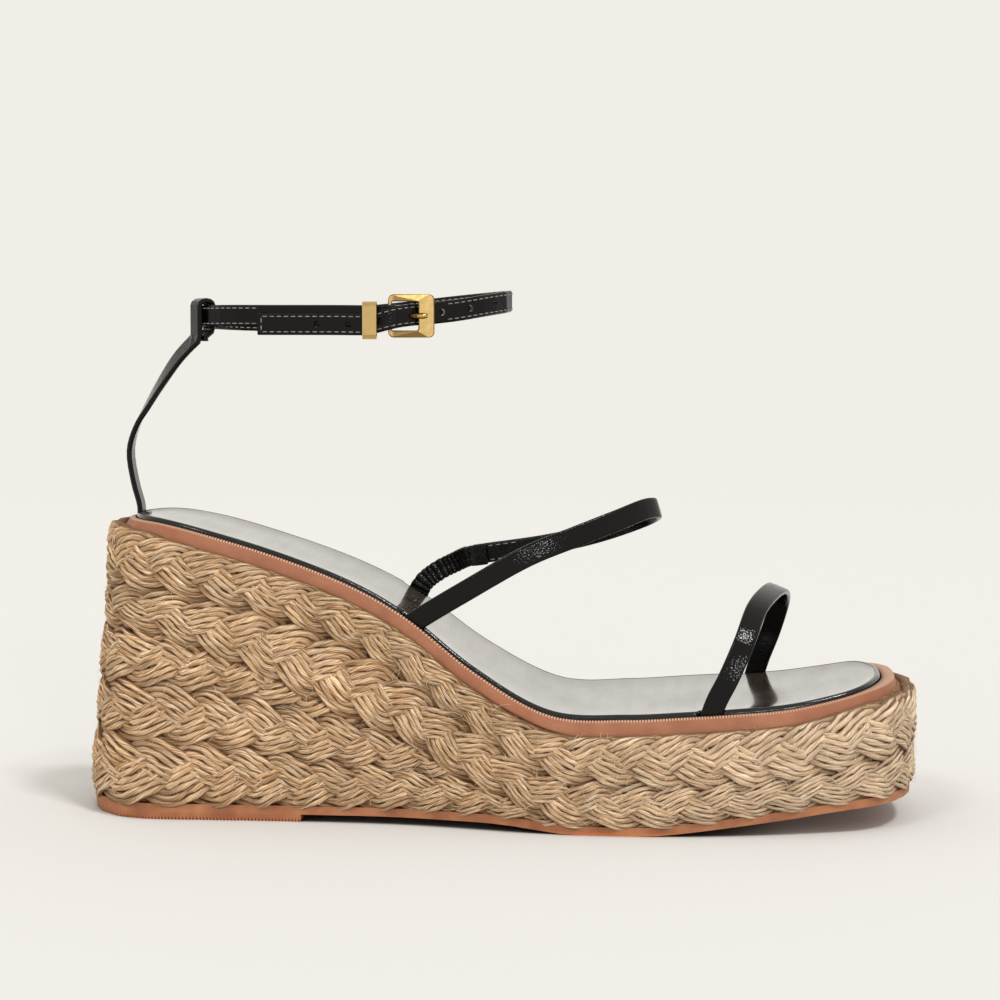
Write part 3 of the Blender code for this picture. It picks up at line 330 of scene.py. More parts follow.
# Underside of the sole: share of the length, share of the heel lift, of the arch, of the toe spring.
UNDER_LINE = (
    (0.000, 1.00, 0.00, 0.00),
    (0.258, 1.00, 0.00, 0.00),
    (0.340, 0.95, 0.80, 0.00),
    (0.420, 0.90, 1.00, 0.00),
    (0.500, 0.85, 0.90, 0.00),
    (0.550, 0.40, 0.30, 0.00),
    (0.590, 0.00, 0.00, 0.00),
    (0.680, 0.00, 0.00, 0.00),
    (0.720, 0.00, 0.00, 0.09),
    (0.778, 0.00, 0.00, 0.29),
    (0.852, 0.00, 0.00, 0.56),
    (0.921, 0.00, 0.00, 0.82),
    (0.977, 0.00, 0.00, 0.96),
    (1.000, 0.00, 0.00, 1.00),
)
print("footbed:", FOOTBED_LENGTH, "by", BALL_WIDTH, "heel height:", HEEL_HEIGHT)


# %% Curves through points
def spline(points, per_span, closed=False):
    """A centripetal Catmull-Rom curve: each span's knots lie at the roots of the points' distances."""
    points = np.asarray(points, float)
    if closed:
        padded = np.vstack([points[-1], points, points[:2]])
    else:
        padded = np.vstack([2 * points[0] - points[1], points, 2 * points[-1] - points[-2]])
    made = []
    for p0, p1, p2, p3 in zip(padded, padded[1:], padded[2:], padded[3:]):
        k1 = math.sqrt(np.linalg.norm(p1 - p0))
        k2 = k1 + math.sqrt(np.linalg.norm(p2 - p1))
        k3 = k2 + math.sqrt(np.linalg.norm(p3 - p2))
        k = np.linspace(k1, k2, per_span, endpoint=False)[:, None]
        a1 = (k1 - k) / k1 * p0 + k / k1 * p1
        a2 = (k2 - k) / (k2 - k1) * p1 + (k - k1) / (k2 - k1) * p2
        a3 = (k3 - k) / (k3 - k2) * p2 + (k - k2) / (k3 - k2) * p3
        b1 = (k2 - k) / k2 * a1 + k / k2 * a2
        b2 = (k3 - k) / (k3 - k1) * a2 + (k - k1) / (k3 - k1) * a3
        made.append((k2 - k) / (k2 - k1) * b1 + (k - k1) / (k2 - k1) * b2)
    if not closed:
        made.append(points[-1:])
    return np.vstack(made)


def path_length(points):
    """The length along a path of points, from 0 at its first."""
    steps = np.linalg.norm(np.diff(points, axis=0), axis=1)
    return np.concatenate([[0], np.cumsum(steps)])


def points_at(stations, run, path):
    """The path's points at these stations of its run, in straight steps between its own points."""
    return np.stack([np.interp(stations, run, column) for column in path.T], -1)


def unit(vectors):
    """These vectors at length one."""
    vectors = np.asarray(vectors, float)
    return vectors / np.linalg.norm(vectors, axis=-1, keepdims=True)


def ease(value, start, end):
    """0 before start, 1 after end, and a smooth step between."""
    share = np.clip((np.asarray(value, float) - start) / (end - start), 0, 1)
    return share * share * (3 - 2 * share)


print("a smooth step at its quarters:", ease(np.array([0, 0.25, 0.5, 0.75, 1]), 0, 1))

# %% The footbed's outline
SPAN_POINTS = 40


def along(x):
    """Share of the footbed's length at this X."""
    return (np.asarray(x, float) + HEEL_OVERHANG) / FOOTBED_LENGTH


def at_share(share):
    """X at this share of the footbed's length."""
    return share * FOOTBED_LENGTH - HEEL_OVERHANG


def dense_outline():
    """A fine closed line, the share of the way round (0.5 at the toe), and the length round."""
    outer = [(at_share(a), -s * w) for a, s, w in OUTER_SIDE]
    inner = [(at_share(a), s * w) for a, s, w in INNER_SIDE]
    line = spline(outer + inner, SPAN_POINTS, closed=True)
    line = np.vstack([line, line[:1]])
    toe = SPAN_POINTS * (len(OUTER_SIDE) - 1)
    run = path_length(line)
    front = 0.5 * run / run[toe]
    back = 0.5 + 0.5 * (run - run[toe]) / (run[-1] - run[toe])
    return line, np.where(run <= run[toe], front, back), run


OUTLINE, OUTLINE_SHARE, OUTLINE_RUN = dense_outline()
ROUND = float(OUTLINE_RUN[-1])
TOE_INDEX = int(np.argmin(abs(OUTLINE_SHARE - 0.5)))


def outline_at(shares):
    """The outline's X and Y at these shares of the way round."""
    return points_at(shares % 1, OUTLINE_SHARE, OUTLINE)


def edge(shares):
    """Points of the outline at these shares, and the level directions out of it."""
    shares = np.asarray(shares, float)
    step = 2e-3
    run = unit(outline_at(shares + step) - outline_at(shares - step))
    return outline_at(shares), np.stack([run[..., 1], -run[..., 0]], -1)


def share_of(run):
    """Share of the way round at this length round the outline."""
    return np.interp(np.asarray(run) % ROUND, OUTLINE_RUN, OUTLINE_SHARE)


def x_of(run):
    """X of the outline at this length round it."""
    return np.interp(share_of(run), OUTLINE_SHARE, OUTLINE[:, 0])


def share_at(x, side):
    """Share of the way round at this X, on side -1 (outer) or +1 (inner)."""
    if side < 0:
        half = slice(0, TOE_INDEX + 1)
        return float(np.interp(x, OUTLINE[half, 0], OUTLINE_SHARE[half]))
    half = slice(TOE_INDEX, None)
    return float(np.interp(x, OUTLINE[half, 0][::-1], OUTLINE_SHARE[half][::-1]))


print("round the footbed:", round(ROUND * 1000, 1), "mm")

# %% Height lines and margins
def height_line(table, sizes):
    """A fine (share of length, height) line whose table gives shares of these sizes."""
    rows = np.array(table)
    return spline(np.stack([rows[:, 0], rows[:, 1:] @ np.array(sizes)], -1), 12)


TOP_FINE = height_line(TOP_LINE, (HEEL_HEIGHT - PLATFORM_HEIGHT, TOE_HEIGHT - PLATFORM_HEIGHT))
UNDER_FINE = height_line(UNDER_LINE, (HEEL_LIFT, ARCH_RISE, TOE_SPRING))


def top_height(x):
    """Height of the wedge's top at X."""
    return PLATFORM_HEIGHT + np.interp(along(x), TOP_FINE[:, 0], TOP_FINE[:, 1])


def under_height(x):
    """Height of the sole sheet's underside at X, without the heel lift."""
    return np.maximum(np.interp(along(x), UNDER_FINE[:, 0], UNDER_FINE[:, 1]), 0.0)


def ledge(x):
    """Distance from the rand's outer face in to the insole."""
    return LEDGE_SIDE + (LEDGE_TOE - LEDGE_SIDE) * ease(along(x), 0.93, 1.0)


def lean(x):
    """How far the rand's lower edge stands outside its upper edge."""
    return RAND_LEAN + (RAND_LEAN_HEEL - RAND_LEAN) * (1 - ease(along(x), 0.0, 0.10))


def margin(x, side, end):
    """A distance that is one size along the sides and another at the heel's back and the toe."""
    share = along(x)
    return side + (end - side) * np.maximum(1 - ease(share, 0.0, 0.12), ease(share, 0.88, 1.0))


def flare(x):
    """How far the wedge's foot stands outside its top, at the back of the heel."""
    return HEEL_FLARE * (1 - ease(along(x), 0.0, 0.13))


def wall_top(x):
    """Height where the braid starts, under the rand."""
    return top_height(x) - RAND_DROP - GAP


def wall_foot(x):
    """Height where the braid ends, on the sole."""
    return under_height(x) + SOLE_THICKNESS + GAP


def wall_point(run, height, depth):
    """A point of the wedge's side.

    run is the length round the outline, and depth the distance in from the braid's crowns:
    outline point + outward * (margin + flare * share of the way down - depth).
    """
    plan, out = edge(share_of(run))
    x = plan[..., 0]
    down = np.clip((wall_top(x) - height) / (wall_top(x) - wall_foot(x)), 0, 1)
    reach = margin(x, BRAID_MARGIN, BRAID_MARGIN_END) + flare(x) * down - depth
    flat = plan + out * reach[..., None]
    return np.concatenate([flat, np.asarray(height)[..., None]], -1)


print("heel, waist and toe heights:", np.round(top_height(at_share(np.array([0, 0.55, 1]))), 4))

# %% [markdown]
# ## Surfaces from arrays
# A strap, a rim or a yarn is one grid of points: rows along it and columns round its section. One helper
# turns such a grid into a mesh with whole arrays, and stores on each corner where it lies on the grid.
# Several grids of one size, such as all the yarns of a braid, are joined in one mesh at once.

# %% Faces of a grid
def grid_faces(rows, columns, ring_rows, ring_columns):
    """Corner numbers of the quads of a grid, and each quad's row and column."""
    i = np.arange(rows if ring_rows else rows - 1)
    j = np.arange(columns if ring_columns else columns - 1)
    i, j = [a.reshape(-1) for a in np.meshgrid(i, j, indexing="ij")]
    i2, j2 = (i + 1) % rows, (j + 1) % columns
    quads = np.stack([i * columns + j, i * columns + j2, i2 * columns + j2, i2 * columns + j], -1)
    return quads, i, j


def end_faces(rows, columns, start, flip):
    """Corner numbers of one flat face over each end of each grid; start is each grid's first point."""
    ends = []
    for row in (0, rows - 1):
        ring = np.arange(columns) + row * columns
        ends.append((ring[::-1] if (row == 0) != flip else ring)[None] + start.reshape(-1, 1))
    return np.concatenate(ends)


print("quads of an open grid of 3 by 4 points:", len(grid_faces(3, 4, False, False)[0]))

# %% Mesh helper
def new_mesh(name, points, loops, sizes, uv, marks):
    """A smooth mesh from flat arrays: points, corners, corners to each face, and UV for each corner."""
    mesh = bpy.data.meshes.new(name)
    mesh.vertices.add(points.size // 3)
    mesh.vertices.foreach_set("co", points.reshape(-1))
    mesh.loops.add(len(loops))
    mesh.loops.foreach_set("vertex_index", loops.astype(np.int32))
    mesh.polygons.add(len(sizes))
    starts = np.concatenate([[0], np.cumsum(sizes)[:-1]])
    mesh.polygons.foreach_set("loop_start", starts.astype(np.int32))
    mesh.uv_layers.new(name="UVMap")
    mesh.uv_layers["UVMap"].data.foreach_set("uv", uv.reshape(-1))
    for mark, values in marks.items():
        mesh.attributes.new(mark, "FLOAT", "POINT")
        mesh.attributes[mark].data.foreach_set("value", np.asarray(values, float).reshape(-1))
    mesh.update(calc_edges=True)
    mesh.validate()
    mesh.polygons.foreach_set("use_smooth", np.ones(len(mesh.polygons), bool))
    return mesh


def make_piece(name, grids, finish, ring_rows=False, ring_columns=True, caps=False, marks=(), flip=False):
    """A piece of one or more grids of points, shaped (grids, rows, columns, 3).

    The UV map holds (column share, row share). marks are further numbers for each point.
    """
    grids = np.asarray(grids, float)
    if grids.ndim == 3:
        grids = grids[None]
    count, rows, columns, _ = grids.shape
    quads, i, j = grid_faces(rows, columns, ring_rows, ring_columns)
    start = np.arange(count)[:, None, None] * rows * columns
    faces = (quads[None] + start).reshape(-1, 4)
    u = np.stack([j, j + 1, j + 1, j], -1) / (columns if ring_columns else columns - 1)
    v = np.stack([i, i, i + 1, i + 1], -1) / (rows if ring_rows else rows - 1)
    uv = np.tile(np.stack([u, v], -1).reshape(-1, 2), (count, 1))
    if flip:
        faces = faces[:, ::-1]
        uv = uv.reshape(-1, 4, 2)[:, ::-1].reshape(-1, 2)
    loops = faces.reshape(-1)
    sizes = np.full(len(faces), 4)
    if caps:
        ends = end_faces(rows, columns, start, flip)
        loops = np.concatenate([loops, ends.reshape(-1)])
        sizes = np.concatenate([sizes, np.full(len(ends), columns)])
        uv = np.concatenate([uv, np.zeros((ends.size, 2))])
    mesh = new_mesh(name, grids, loops, sizes, uv, dict(marks))
    mesh.materials.append(finish)
    made = bpy.data.objects.new(name, mesh)
    bpy.context.scene.collection.objects.link(made)
    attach(made, "root")
    print(name, "faces:", len(mesh.polygons))
    return made


def tubes(paths, radius, sides, inward=(0.0, 0.0, -1.0)):
    """Rings round each path: path + radius * (cos turn * first + sin turn * second).

    The first point of a ring faces inward, so that a seam in the pattern is out of sight.
    """
    paths = np.asarray(paths, float)
    tangent = unit(np.gradient(paths, axis=-2))
    inward = np.broadcast_to(inward, paths.shape)
    first = unit(inward - tangent * np.sum(inward * tangent, -1, keepdims=True))
    second = np.cross(tangent, first)
    turns = np.linspace(0, 2 * np.pi, sides, endpoint=False)
    radius = np.broadcast_to(radius, paths.shape[:-1])[..., None, None]
    ring = np.cos(turns)[:, None] * first[..., None, :] + np.sin(turns)[:, None] * second[..., None, :]
    return paths[..., None, :] + radius * ring


# %% [markdown]
# ## Jute
# Jute yarn is a bundle of pale, slightly twisted fibres. Its look is fine lines that run along each yarn and
# wind slowly round it, light on the crowns and brown in the gaps, where the brown is painted shade. The
# shader
# reads three marks of each point: the length along its yarn, a tone of its own for each yarn, and how deep it
# lies in the braid, which sets its painted shade.
# the length along its yarn, a tone of its own for each yarn, and how deep it lies in the braid.

# %% Jute finish
# Twists of a yarn to a metre; then lumps of noise round a yarn and to a metre along it, fine and coarse.
FIBRE_TURNS = 45.0
FIBRES_ROUND = 26.0
FIBRE_RUNS = 150.0
PLIES_ROUND = 4.0
PLY_RUNS = 60.0
# How bright all the jute is, and its colours: fibres from dark to pale, gaps, toe, and painted shade in
# creases and depths.
JUTE_LEVEL = 0.985
JUTE_FIBRES = (
    (0.35, tone(84, 52, 26)),
    (0.45, tone(188, 146, 104)),
    (0.55, tone(232, 196, 154)),
    (0.68, tone(255, 248, 232)),
)
JUTE_PLY_GAP = tone(138, 98, 58)
JUTE_AT_TOE = tone(244, 232, 212)
JUTE_PAINTED_CREASE_SHADE = tone(84, 54, 28)
JUTE_PAINTED_DEPTH_SHADE = tone(112, 74, 40)


def jute_finish(name):
    """Fibre lines from noise stretched along the yarn; the sides of each yarn and deeper points get painted
    shade, and the toe is paler.
    """
    made, tree, shader = new_material(name)
    turn = parts_of(tree, put(tree, "UVMap").outputs[0])[0]
    marks = ("length", "tone", "depth_shade")
    length, own, depth_shade = [put(tree, "Attribute", attribute_name=m).outputs["Fac"] for m in marks]
    wound = math_of(tree, "ADD", turn, times(tree, length, FIBRE_TURNS))
    fine = (times(tree, wound, FIBRES_ROUND), times(tree, length, FIBRE_RUNS), times(tree, own, 60.0))
    fibres = noise(tree, vector_of(tree, *fine), 1.0, 4.0, 0.72)
    coarse = (times(tree, wound, PLIES_ROUND), times(tree, length, PLY_RUNS), times(tree, own, 23.0))
    plies = noise(tree, vector_of(tree, *coarse), 1.0, 1.0)
    place = object_point(tree)
    toward_toe = ramp(tree, times(tree, parts_of(tree, place)["X"], 5.0), (0.45, 0.0), (0.95, 0.26))
    colour = ramp(tree, fibres, *JUTE_FIBRES)
    colour = mix_colours(tree, ramp(tree, plies, (0.28, 0.55), (0.46, 0.0)), colour, JUTE_PLY_GAP)
    colour = mix_colours(tree, toward_toe, colour, JUTE_AT_TOE)
    # Painted shade: the sides of each yarn, towards the gaps between yarns, are painted darker.
    side = math_of(tree, "ABSOLUTE", math_of(tree, "SUBTRACT", turn, 0.5))
    colour = mix_colours(tree, ramp(tree, side, (0.105, 0.0), (0.160, 0.80)), colour, JUTE_PAINTED_CREASE_SHADE)
    # Painted shade: the deeper a point lies in the braid, the browner it is painted.
    colour = mix_colours(tree, ramp(tree, depth_shade, (0.22, 0.0), (0.95, 0.85)), colour, JUTE_PAINTED_DEPTH_SHADE)
    patches = ramp(tree, noise(tree, place, 70.0), (0.30, 0.88), (0.70, 1.12))
    level = times(tree, times(tree, patches, JUTE_LEVEL), ramp(tree, own, (0.0, 0.88), (1.0, 1.10)))
    colour = mix_colours(tree, 1.0, colour, vector_of(tree, level, level, level), "MULTIPLY")
    relief = math_of(tree, "ADD", fibres, times(tree, plies, 0.8))
    dress(tree, shader, {
        "Base Color": colour,
        "Roughness": 0.78,
        "Specular IOR Level": 0.25,
        "Normal": bumps(tree, relief, 1.0, 0.00045),
    })
    return made


JUTE = jute_finish("jute_yarn")
print("jute:", JUTE.name, "nodes:", len(JUTE.node_tree.nodes))

# %% [markdown]
# ## The braids
# The wedge is wrapped in flat braids of three strands, and each strand is six yarns side by side. Two braids
# follow the footbed all the way round. Three more lie level round the heel, and run out under the second one.
# Each braid is laid between two height lines, which are smooth curves through a few chosen heights.

# %% Lines between the braids
BRAID_WIDTH = 0.0155
# Share of the length; foot of the first braid and of the second below the rand, as shares of the width.
UPPER_LINES = (
    (0.00, 0.95, 1.66),
    (0.06, 0.90, 1.72),
    (0.13, 0.88, 1.88),
    (0.19, 0.80, 1.96),
    (0.24, 0.78, 2.06),
    (0.31, 0.76, 2.12),
    (0.40, 0.74, 1.90),
    (0.46, 0.70, 1.74),
    (0.52, 0.72, 1.52),
    (0.60, 0.78, 1.62),
    (0.68, 0.86, 1.62),
    (0.77, 0.93, 1.62),
    (0.87, 0.93, 1.70),
    (1.00, 0.92, 1.90),
)
# Share of the length; foot of the highest level braid and of the middle one above the sole.
LEVEL_LINES = (
    (-0.03, 2.24, 1.34),
    (0.06, 2.28, 1.22),
    (0.12, 2.17, 1.14),
    (0.19, 2.00, 1.02),
    (0.24, 1.80, 0.90),
    (0.37, 1.50, 0.74),
    (0.53, 1.20, 0.55),
)
UPPER_FINE = spline(UPPER_LINES, 10)
LEVEL_FINE = spline(LEVEL_LINES, 10)
# How far the first braid starts above the rand's foot, and how far that foot rises at the toe and the heel.
TUCK = 0.0022
TOE_LIFT = 0.0013
BACK_LIFT = 0.0030


def first_foot(run):
    """Height of the foot of the first braid, never below the sole."""
    drop = BRAID_WIDTH * np.interp(along(x_of(run)), UPPER_FINE[:, 0], UPPER_FINE[:, 1])
    return np.maximum(wall_top(x_of(run)) - drop, wall_foot(x_of(run)))


def second_foot(run):
    """Height of the foot of the second braid, never below the sole."""
    drop = BRAID_WIDTH * np.interp(along(x_of(run)), UPPER_FINE[:, 0], UPPER_FINE[:, 2])
    return np.maximum(wall_top(x_of(run)) - drop, wall_foot(x_of(run)))


def level_line(run, column):
    """Height of the foot of the highest (1) or middle (2) level braid."""
    x = x_of(run)
    return wall_foot(x) + BRAID_WIDTH * np.interp(along(x), LEVEL_FINE[:, 0], LEVEL_FINE[:, column])


def rand_foot(run):
    """Height where the first braid meets the rand: higher at the heel's back and round the toe."""
    share = along(x_of(run))
    lift = TOE_LIFT * ease(share, 0.86, 0.95)
    return wall_top(x_of(run)) + lift + BACK_LIFT * (1 - ease(share, -0.02, 0.11))


print("foot of the first braid at the heel:", round(float(first_foot(0.0)), 4))

# %% [markdown]
# In a flat braid a strand swings from edge to edge, and dives twice as often as it swings. Drawn tight, it
# crosses almost straight, so the swing is nearly a zigzag with rounded turns. The level braids of the heel
# are the same braid run the other way, so their chevrons point the other way. No two yarns of a real braid
# lie alike, so each one gets small waves of its own, from a seeded choice that is the same in every run.

# %% Lay the yarns
STRANDS = 3
YARNS = 6
# Half a strand's width as a share of the braid's half width, and a yarn's radius as a share of its step.
STRAND_SHARE = 0.52
YARN_SHARE = 0.63
# How deep the highest yarns lie, how much a strand's outer yarns fall, and how far each one strays.
YARN_DEEP = 0.00070
YARN_CROWN = 0.00028
YARN_JITTER = 0.00017
# The length in which a strand swings there and back, and half the depth that it dives by.
BRAID_REPEAT = 0.0372
BRAID_WAVE = 0.00080
# How much two braids overlap, the narrowest that half a braid gets, and how far its edges curl in.
BRAID_LAP = 0.0030
NARROWEST_HALF = 0.0020
EDGE_DIVE = 0.00050
# From near 0, a plain sine, to 1, a zigzag of straight lines.
STRAIGHTNESS = 0.945
CHANCE = np.random.default_rng(7)


def braid_middle(run, upper, lower):
    """The braid's middle line (length round, height), the ways along and across it, and its half width."""
    high, low = upper(run) + BRAID_LAP / 2, lower(run) - BRAID_LAP / 2
    middle = np.stack([run, (high + low) / 2], -1)
    ahead = unit(np.gradient(middle, axis=0))
    side = np.stack([-ahead[:, 1], ahead[:, 0]], -1)
    return middle, ahead, side, np.maximum((high - low) / 2 * ahead[:, 0], NARROWEST_HALF)


def wobble(turn, slow, fast, chance):
    """An uneven wave for each yarn: sin(slow turn) + 0.6 sin(fast turn), each from its own start."""
    return np.sin(turn[:, None] * slow + chance[0]) + 0.6 * np.sin(turn[:, None] * fast + chance[1])


def lay_yarns(u, half, repeat, sense, chance):
    """How far each yarn lies ahead of, beside and behind the middle line, and its radius.

    Strand k at length u: turn = 2 pi (u / repeat + k / 3);
    across = reach * asin(s sin(turn)) / asin(s), nearly a zigzag;
    depth = yarn depth + wave * (1 - sense * sin(2 turn)). Its yarns lie beside each other.
    """
    yarn_step = half * STRAND_SHARE * 2 / YARNS
    turn = 2 * np.pi * (u[None] / repeat + np.arange(STRANDS)[:, None] / STRANDS)
    across = half * (1 - STRAND_SHARE) * np.arcsin(STRAIGHTNESS * np.sin(turn)) / math.asin(STRAIGHTNESS)
    depth = YARN_DEEP + BRAID_WAVE * (1 - sense * np.sin(2 * turn))
    slope = np.gradient(across, axis=-1) / np.gradient(u)
    size = np.sqrt(1 + slope**2)
    place = (np.arange(YARNS) - (YARNS - 1) / 2)[None, :, None]
    offset = place * yarn_step + YARN_JITTER * wobble(turn, 3, 8, chance[0:2])
    forward = -offset * (slope / size)[:, None]
    sideways = across[:, None] + offset / size[:, None]
    crown = YARN_CROWN * (place / place.max()) ** 2 + EDGE_DIVE * abs(sideways / half) ** 3
    sunk = depth[:, None] + crown + YARN_JITTER * wobble(turn, 5, 13, chance[2:4])
    girth = yarn_step * YARN_SHARE * (1 + 0.10 * np.sin(turn[:, None] * 7 + chance[4]))
    return forward, sideways, sunk, girth


print("yarns in a braid:", STRANDS * YARNS)

# %% One braid
# The step along a yarn, the sides of its section, a short step inward, and the depth where its painted shade
# is darkest.
STATION = 0.0012
YARN_SIDES = 6
INWARD_STEP = 0.001
DARKEST_DEPTH = 0.0022


def make_braid(name, start, end, upper, lower, sense, under=None, closed=False):
    """A flat braid between two height lines, along the side of the wedge.

    Beyond the line given in under, a yarn sinks in and is pressed back to the line.
    """
    run = np.linspace(start, end, int((end - start) / STATION), endpoint=not closed)
    middle, ahead, side, half = braid_middle(run, upper, lower)
    u = path_length(middle)
    total = u[-1] + (u[-1] - u[-2]) * closed
    repeat = total / round(total / BRAID_REPEAT) if closed else BRAID_REPEAT
    chance = CHANCE.uniform(0, 2 * np.pi, (5, STRANDS, YARNS, 1))
    forward, sideways, sunk, girth = lay_yarns(u, half, repeat, sense, chance)
    flat = middle + forward[..., None] * ahead + sideways[..., None] * side
    # The depth that sets each yarn's painted shade: a yarn pressed back under the rand keeps the shade of its
    # own depth.
    shade_depth = sunk
    if under is not None:
        line, (sink, first, last, press) = under
        over = flat[..., 1] - line(flat[..., 0])
        flat[..., 1] -= press * np.maximum(over, 0.0)
        sunk = sunk + sink * ease(over, first, last)
        shade_depth = shade_depth if press else sunk
    points = wall_point(flat[..., 0], flat[..., 1], sunk)
    behind = wall_point(flat[..., 0], flat[..., 1], sunk + INWARD_STEP) - points
    if closed:
        points, behind = [np.concatenate([a, a[..., :1, :]], -2) for a in (points, behind)]
        shade_depth, girth = [np.concatenate([a, a[..., :1]], -1) for a in (shade_depth, girth)]
        u = np.append(u, total)
    rings = tubes(points, girth, YARN_SIDES, behind).reshape(STRANDS * YARNS, len(u), YARN_SIDES, 3)
    ones = np.ones((STRANDS, YARNS, len(u), YARN_SIDES))
    own = CHANCE.uniform(0, 1, (STRANDS, YARNS))[..., None, None] * ones
    # Painted shade: how deep each yarn lies sets how brown it is painted.
    depth_shade = np.clip((shade_depth - YARN_DEEP) / DARKEST_DEPTH, 0, 1)[..., None] * ones
    marks = {"length": u[None, None, :, None] * ones, "tone": own, "depth_shade": depth_shade}
    return make_piece(name, rings, JUTE, caps=not closed, marks=marks)


# %% All five braids
# How deep a yarn sinks past a line, between which heights, and the share by which it is pressed back.
SINK_UNDER_RAND = (0.0010, -0.0002, 0.0006, 0.90)
SINK_UNDER_BRAID = (0.0042, -0.0016, 0.0026, 0.0)
HIGHEST_WIDTH = 1.06 * BRAID_WIDTH
# Name, X where the braid's two ends stand, its upper line and its lower one.
LEVEL_BRAIDS = (
    ("braid_heel_high", 0.052, lambda r: level_line(r, 1) + HIGHEST_WIDTH, lambda r: level_line(r, 1)),
    ("braid_heel_middle", 0.090, lambda r: level_line(r, 1), lambda r: level_line(r, 2)),
    ("braid_heel_low", 0.118, lambda r: level_line(r, 2), lambda r: wall_foot(x_of(r))),
)


def reach_run(x, side):
    """Length round the outline at this X on one side; the inner side counts backward from the heel."""
    run = float(np.interp(share_at(x, side), OUTLINE_SHARE, OUTLINE_RUN))
    return run if side < 0 else run - ROUND


def tucked_top(run):
    """The first braid starts a little above the rand's foot, and is pressed back to it."""
    return rand_foot(run) + TUCK


under_rand = (rand_foot, SINK_UNDER_RAND)
braids = [
    make_braid("braid_first", 0, ROUND, tucked_top, first_foot, 1, under_rand, closed=True),
    make_braid("braid_second", 0, ROUND, first_foot, second_foot, 1, closed=True),
]
for name, front, high, low in LEVEL_BRAIDS:
    start, end = reach_run(front, 1), reach_run(front, -1)
    braids.append(make_braid(name, start, end, high, low, -1, (second_foot, SINK_UNDER_BRAID)))

# %% [markdown]
# ## The core behind the braids
# Between two yarns one looks into the braid, and on the real wedge sees more jute there, not daylight. A
# plain wall behind the yarns closes those gaps; its brown, darker than the yarns, is painted shade for the
# depth of the braid. It turns in at its top and its foot, out of sight.

# %% Core
CORE_DEPTH = 0.0030
# How far the core turns in: at its foot, at the top of its wall and at its top, with those two's rise.
CORE_FOOT_INSETS = (0.012, 0.004)
CORE_WALL_INSET = 0.0012
CORE_WALL_RISE = 0.0016
CORE_TOP_INSET = 0.004
CORE_TOP_RISE = 0.0030
# Painted shade: the core's browns are darker than the jute, for the depth behind the yarns.
CORE_SHADED_TONES = ((0.35, tone(96, 62, 34)), (0.70, tone(158, 118, 78)))


def core_finish():
    """Rough fibre with fine spots, in a darker brown that is painted shade for the depth behind the yarns."""
    made, tree, shader = new_material("jute_core")
    spots = noise(tree, object_point(tree), 900.0, 3.0)
    dress(tree, shader, {"Base Color": ramp(tree, spots, *CORE_SHADED_TONES), "Roughness": 0.95})
    return made


def make_core():
    """A plain wall behind the yarns, turned in at its top and foot: wall_point at the core's depth."""
    run = np.linspace(0, ROUND, 360, endpoint=False)
    foot, top = wall_foot(x_of(run)), wall_top(x_of(run))
    rows = [(foot - GAP / 2, inset) for inset in CORE_FOOT_INSETS]
    for share in np.linspace(0, 1, 14):
        rows.append((foot + (top + CORE_WALL_RISE - foot) * share, CORE_WALL_INSET * (share == 1)))
    rows.append((top + CORE_TOP_RISE, CORE_TOP_INSET))
    grid = np.stack([wall_point(run, height, CORE_DEPTH + inset) for height, inset in rows], 1)
    return make_piece("wedge_core", grid, core_finish(), ring_rows=True, ring_columns=False)


core = make_core()
for piece in [core] + braids:
    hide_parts("wedge")

# %% [markdown]
# ## Leather and rubber
# The straps and the footbed's rim are black leather with a hard gloss and a fine crushed grain, which breaks
# the highlights into sparks. The footbed's top is smoother, with a clear coat over faint streaks of polish.
# The strip round the sole is tan leather with the same grain but a dull finish. One node group gives the
# grain to all of them, each at its own scale.

# %% Grain shared by the leathers
GRAIN_BEND = 0.0006
SWELL_SHARE = 0.23


def make_grain_group():
    """Height of crushed leather: small cells with sunken edges, and a softer swell below them."""
    group = bpy.data.node_groups.new("leather_grain", "ShaderNodeTree")
    group.interface.new_socket("Vector", in_out="INPUT", socket_type="NodeSocketVector")
    group.interface.new_socket("Scale", in_out="INPUT", socket_type="NodeSocketFloat")
    group.interface.new_socket("Height", in_out="OUTPUT", socket_type="NodeSocketFloat")
    start = group.nodes.new("NodeGroupInput")
    end = group.nodes.new("NodeGroupOutput")
    vector, scale = start.outputs["Vector"], start.outputs["Scale"]
    bend = put(group, "TexNoise", {"Vector": vector, "Scale": scale, "Detail": 2.0}).outputs["Color"]
    bent = put(group, "VectorMath", {0: bend, 1: (GRAIN_BEND,) * 3}, operation="MULTIPLY").outputs[0]
    place = put(group, "VectorMath", {0: vector, 1: bent}, operation="ADD").outputs[0]
    cells = put(group, "TexVoronoi", {"Vector": place, "Scale": scale}, feature="F1").outputs["Distance"]
    swell = noise(group, vector, times(group, scale, SWELL_SHARE))
    height = math_of(group, "ADD", math_of(group, "SUBTRACT", 1.0, cells), swell)
    dress(group, end, {"Height": height})
    return group


GRAIN = make_grain_group()


def grain_height(tree, scale):
    """The height of the grain group at this many cells a metre."""
    inputs = {"Vector": object_point(tree), "Scale": scale}
    return put(tree, "Group", inputs, node_tree=GRAIN).outputs["Height"]


print("grain nodes:", len(GRAIN.nodes))

# %% Black gloss leather
STREAK_SCALE = (210.0, 30.0, 90.0)


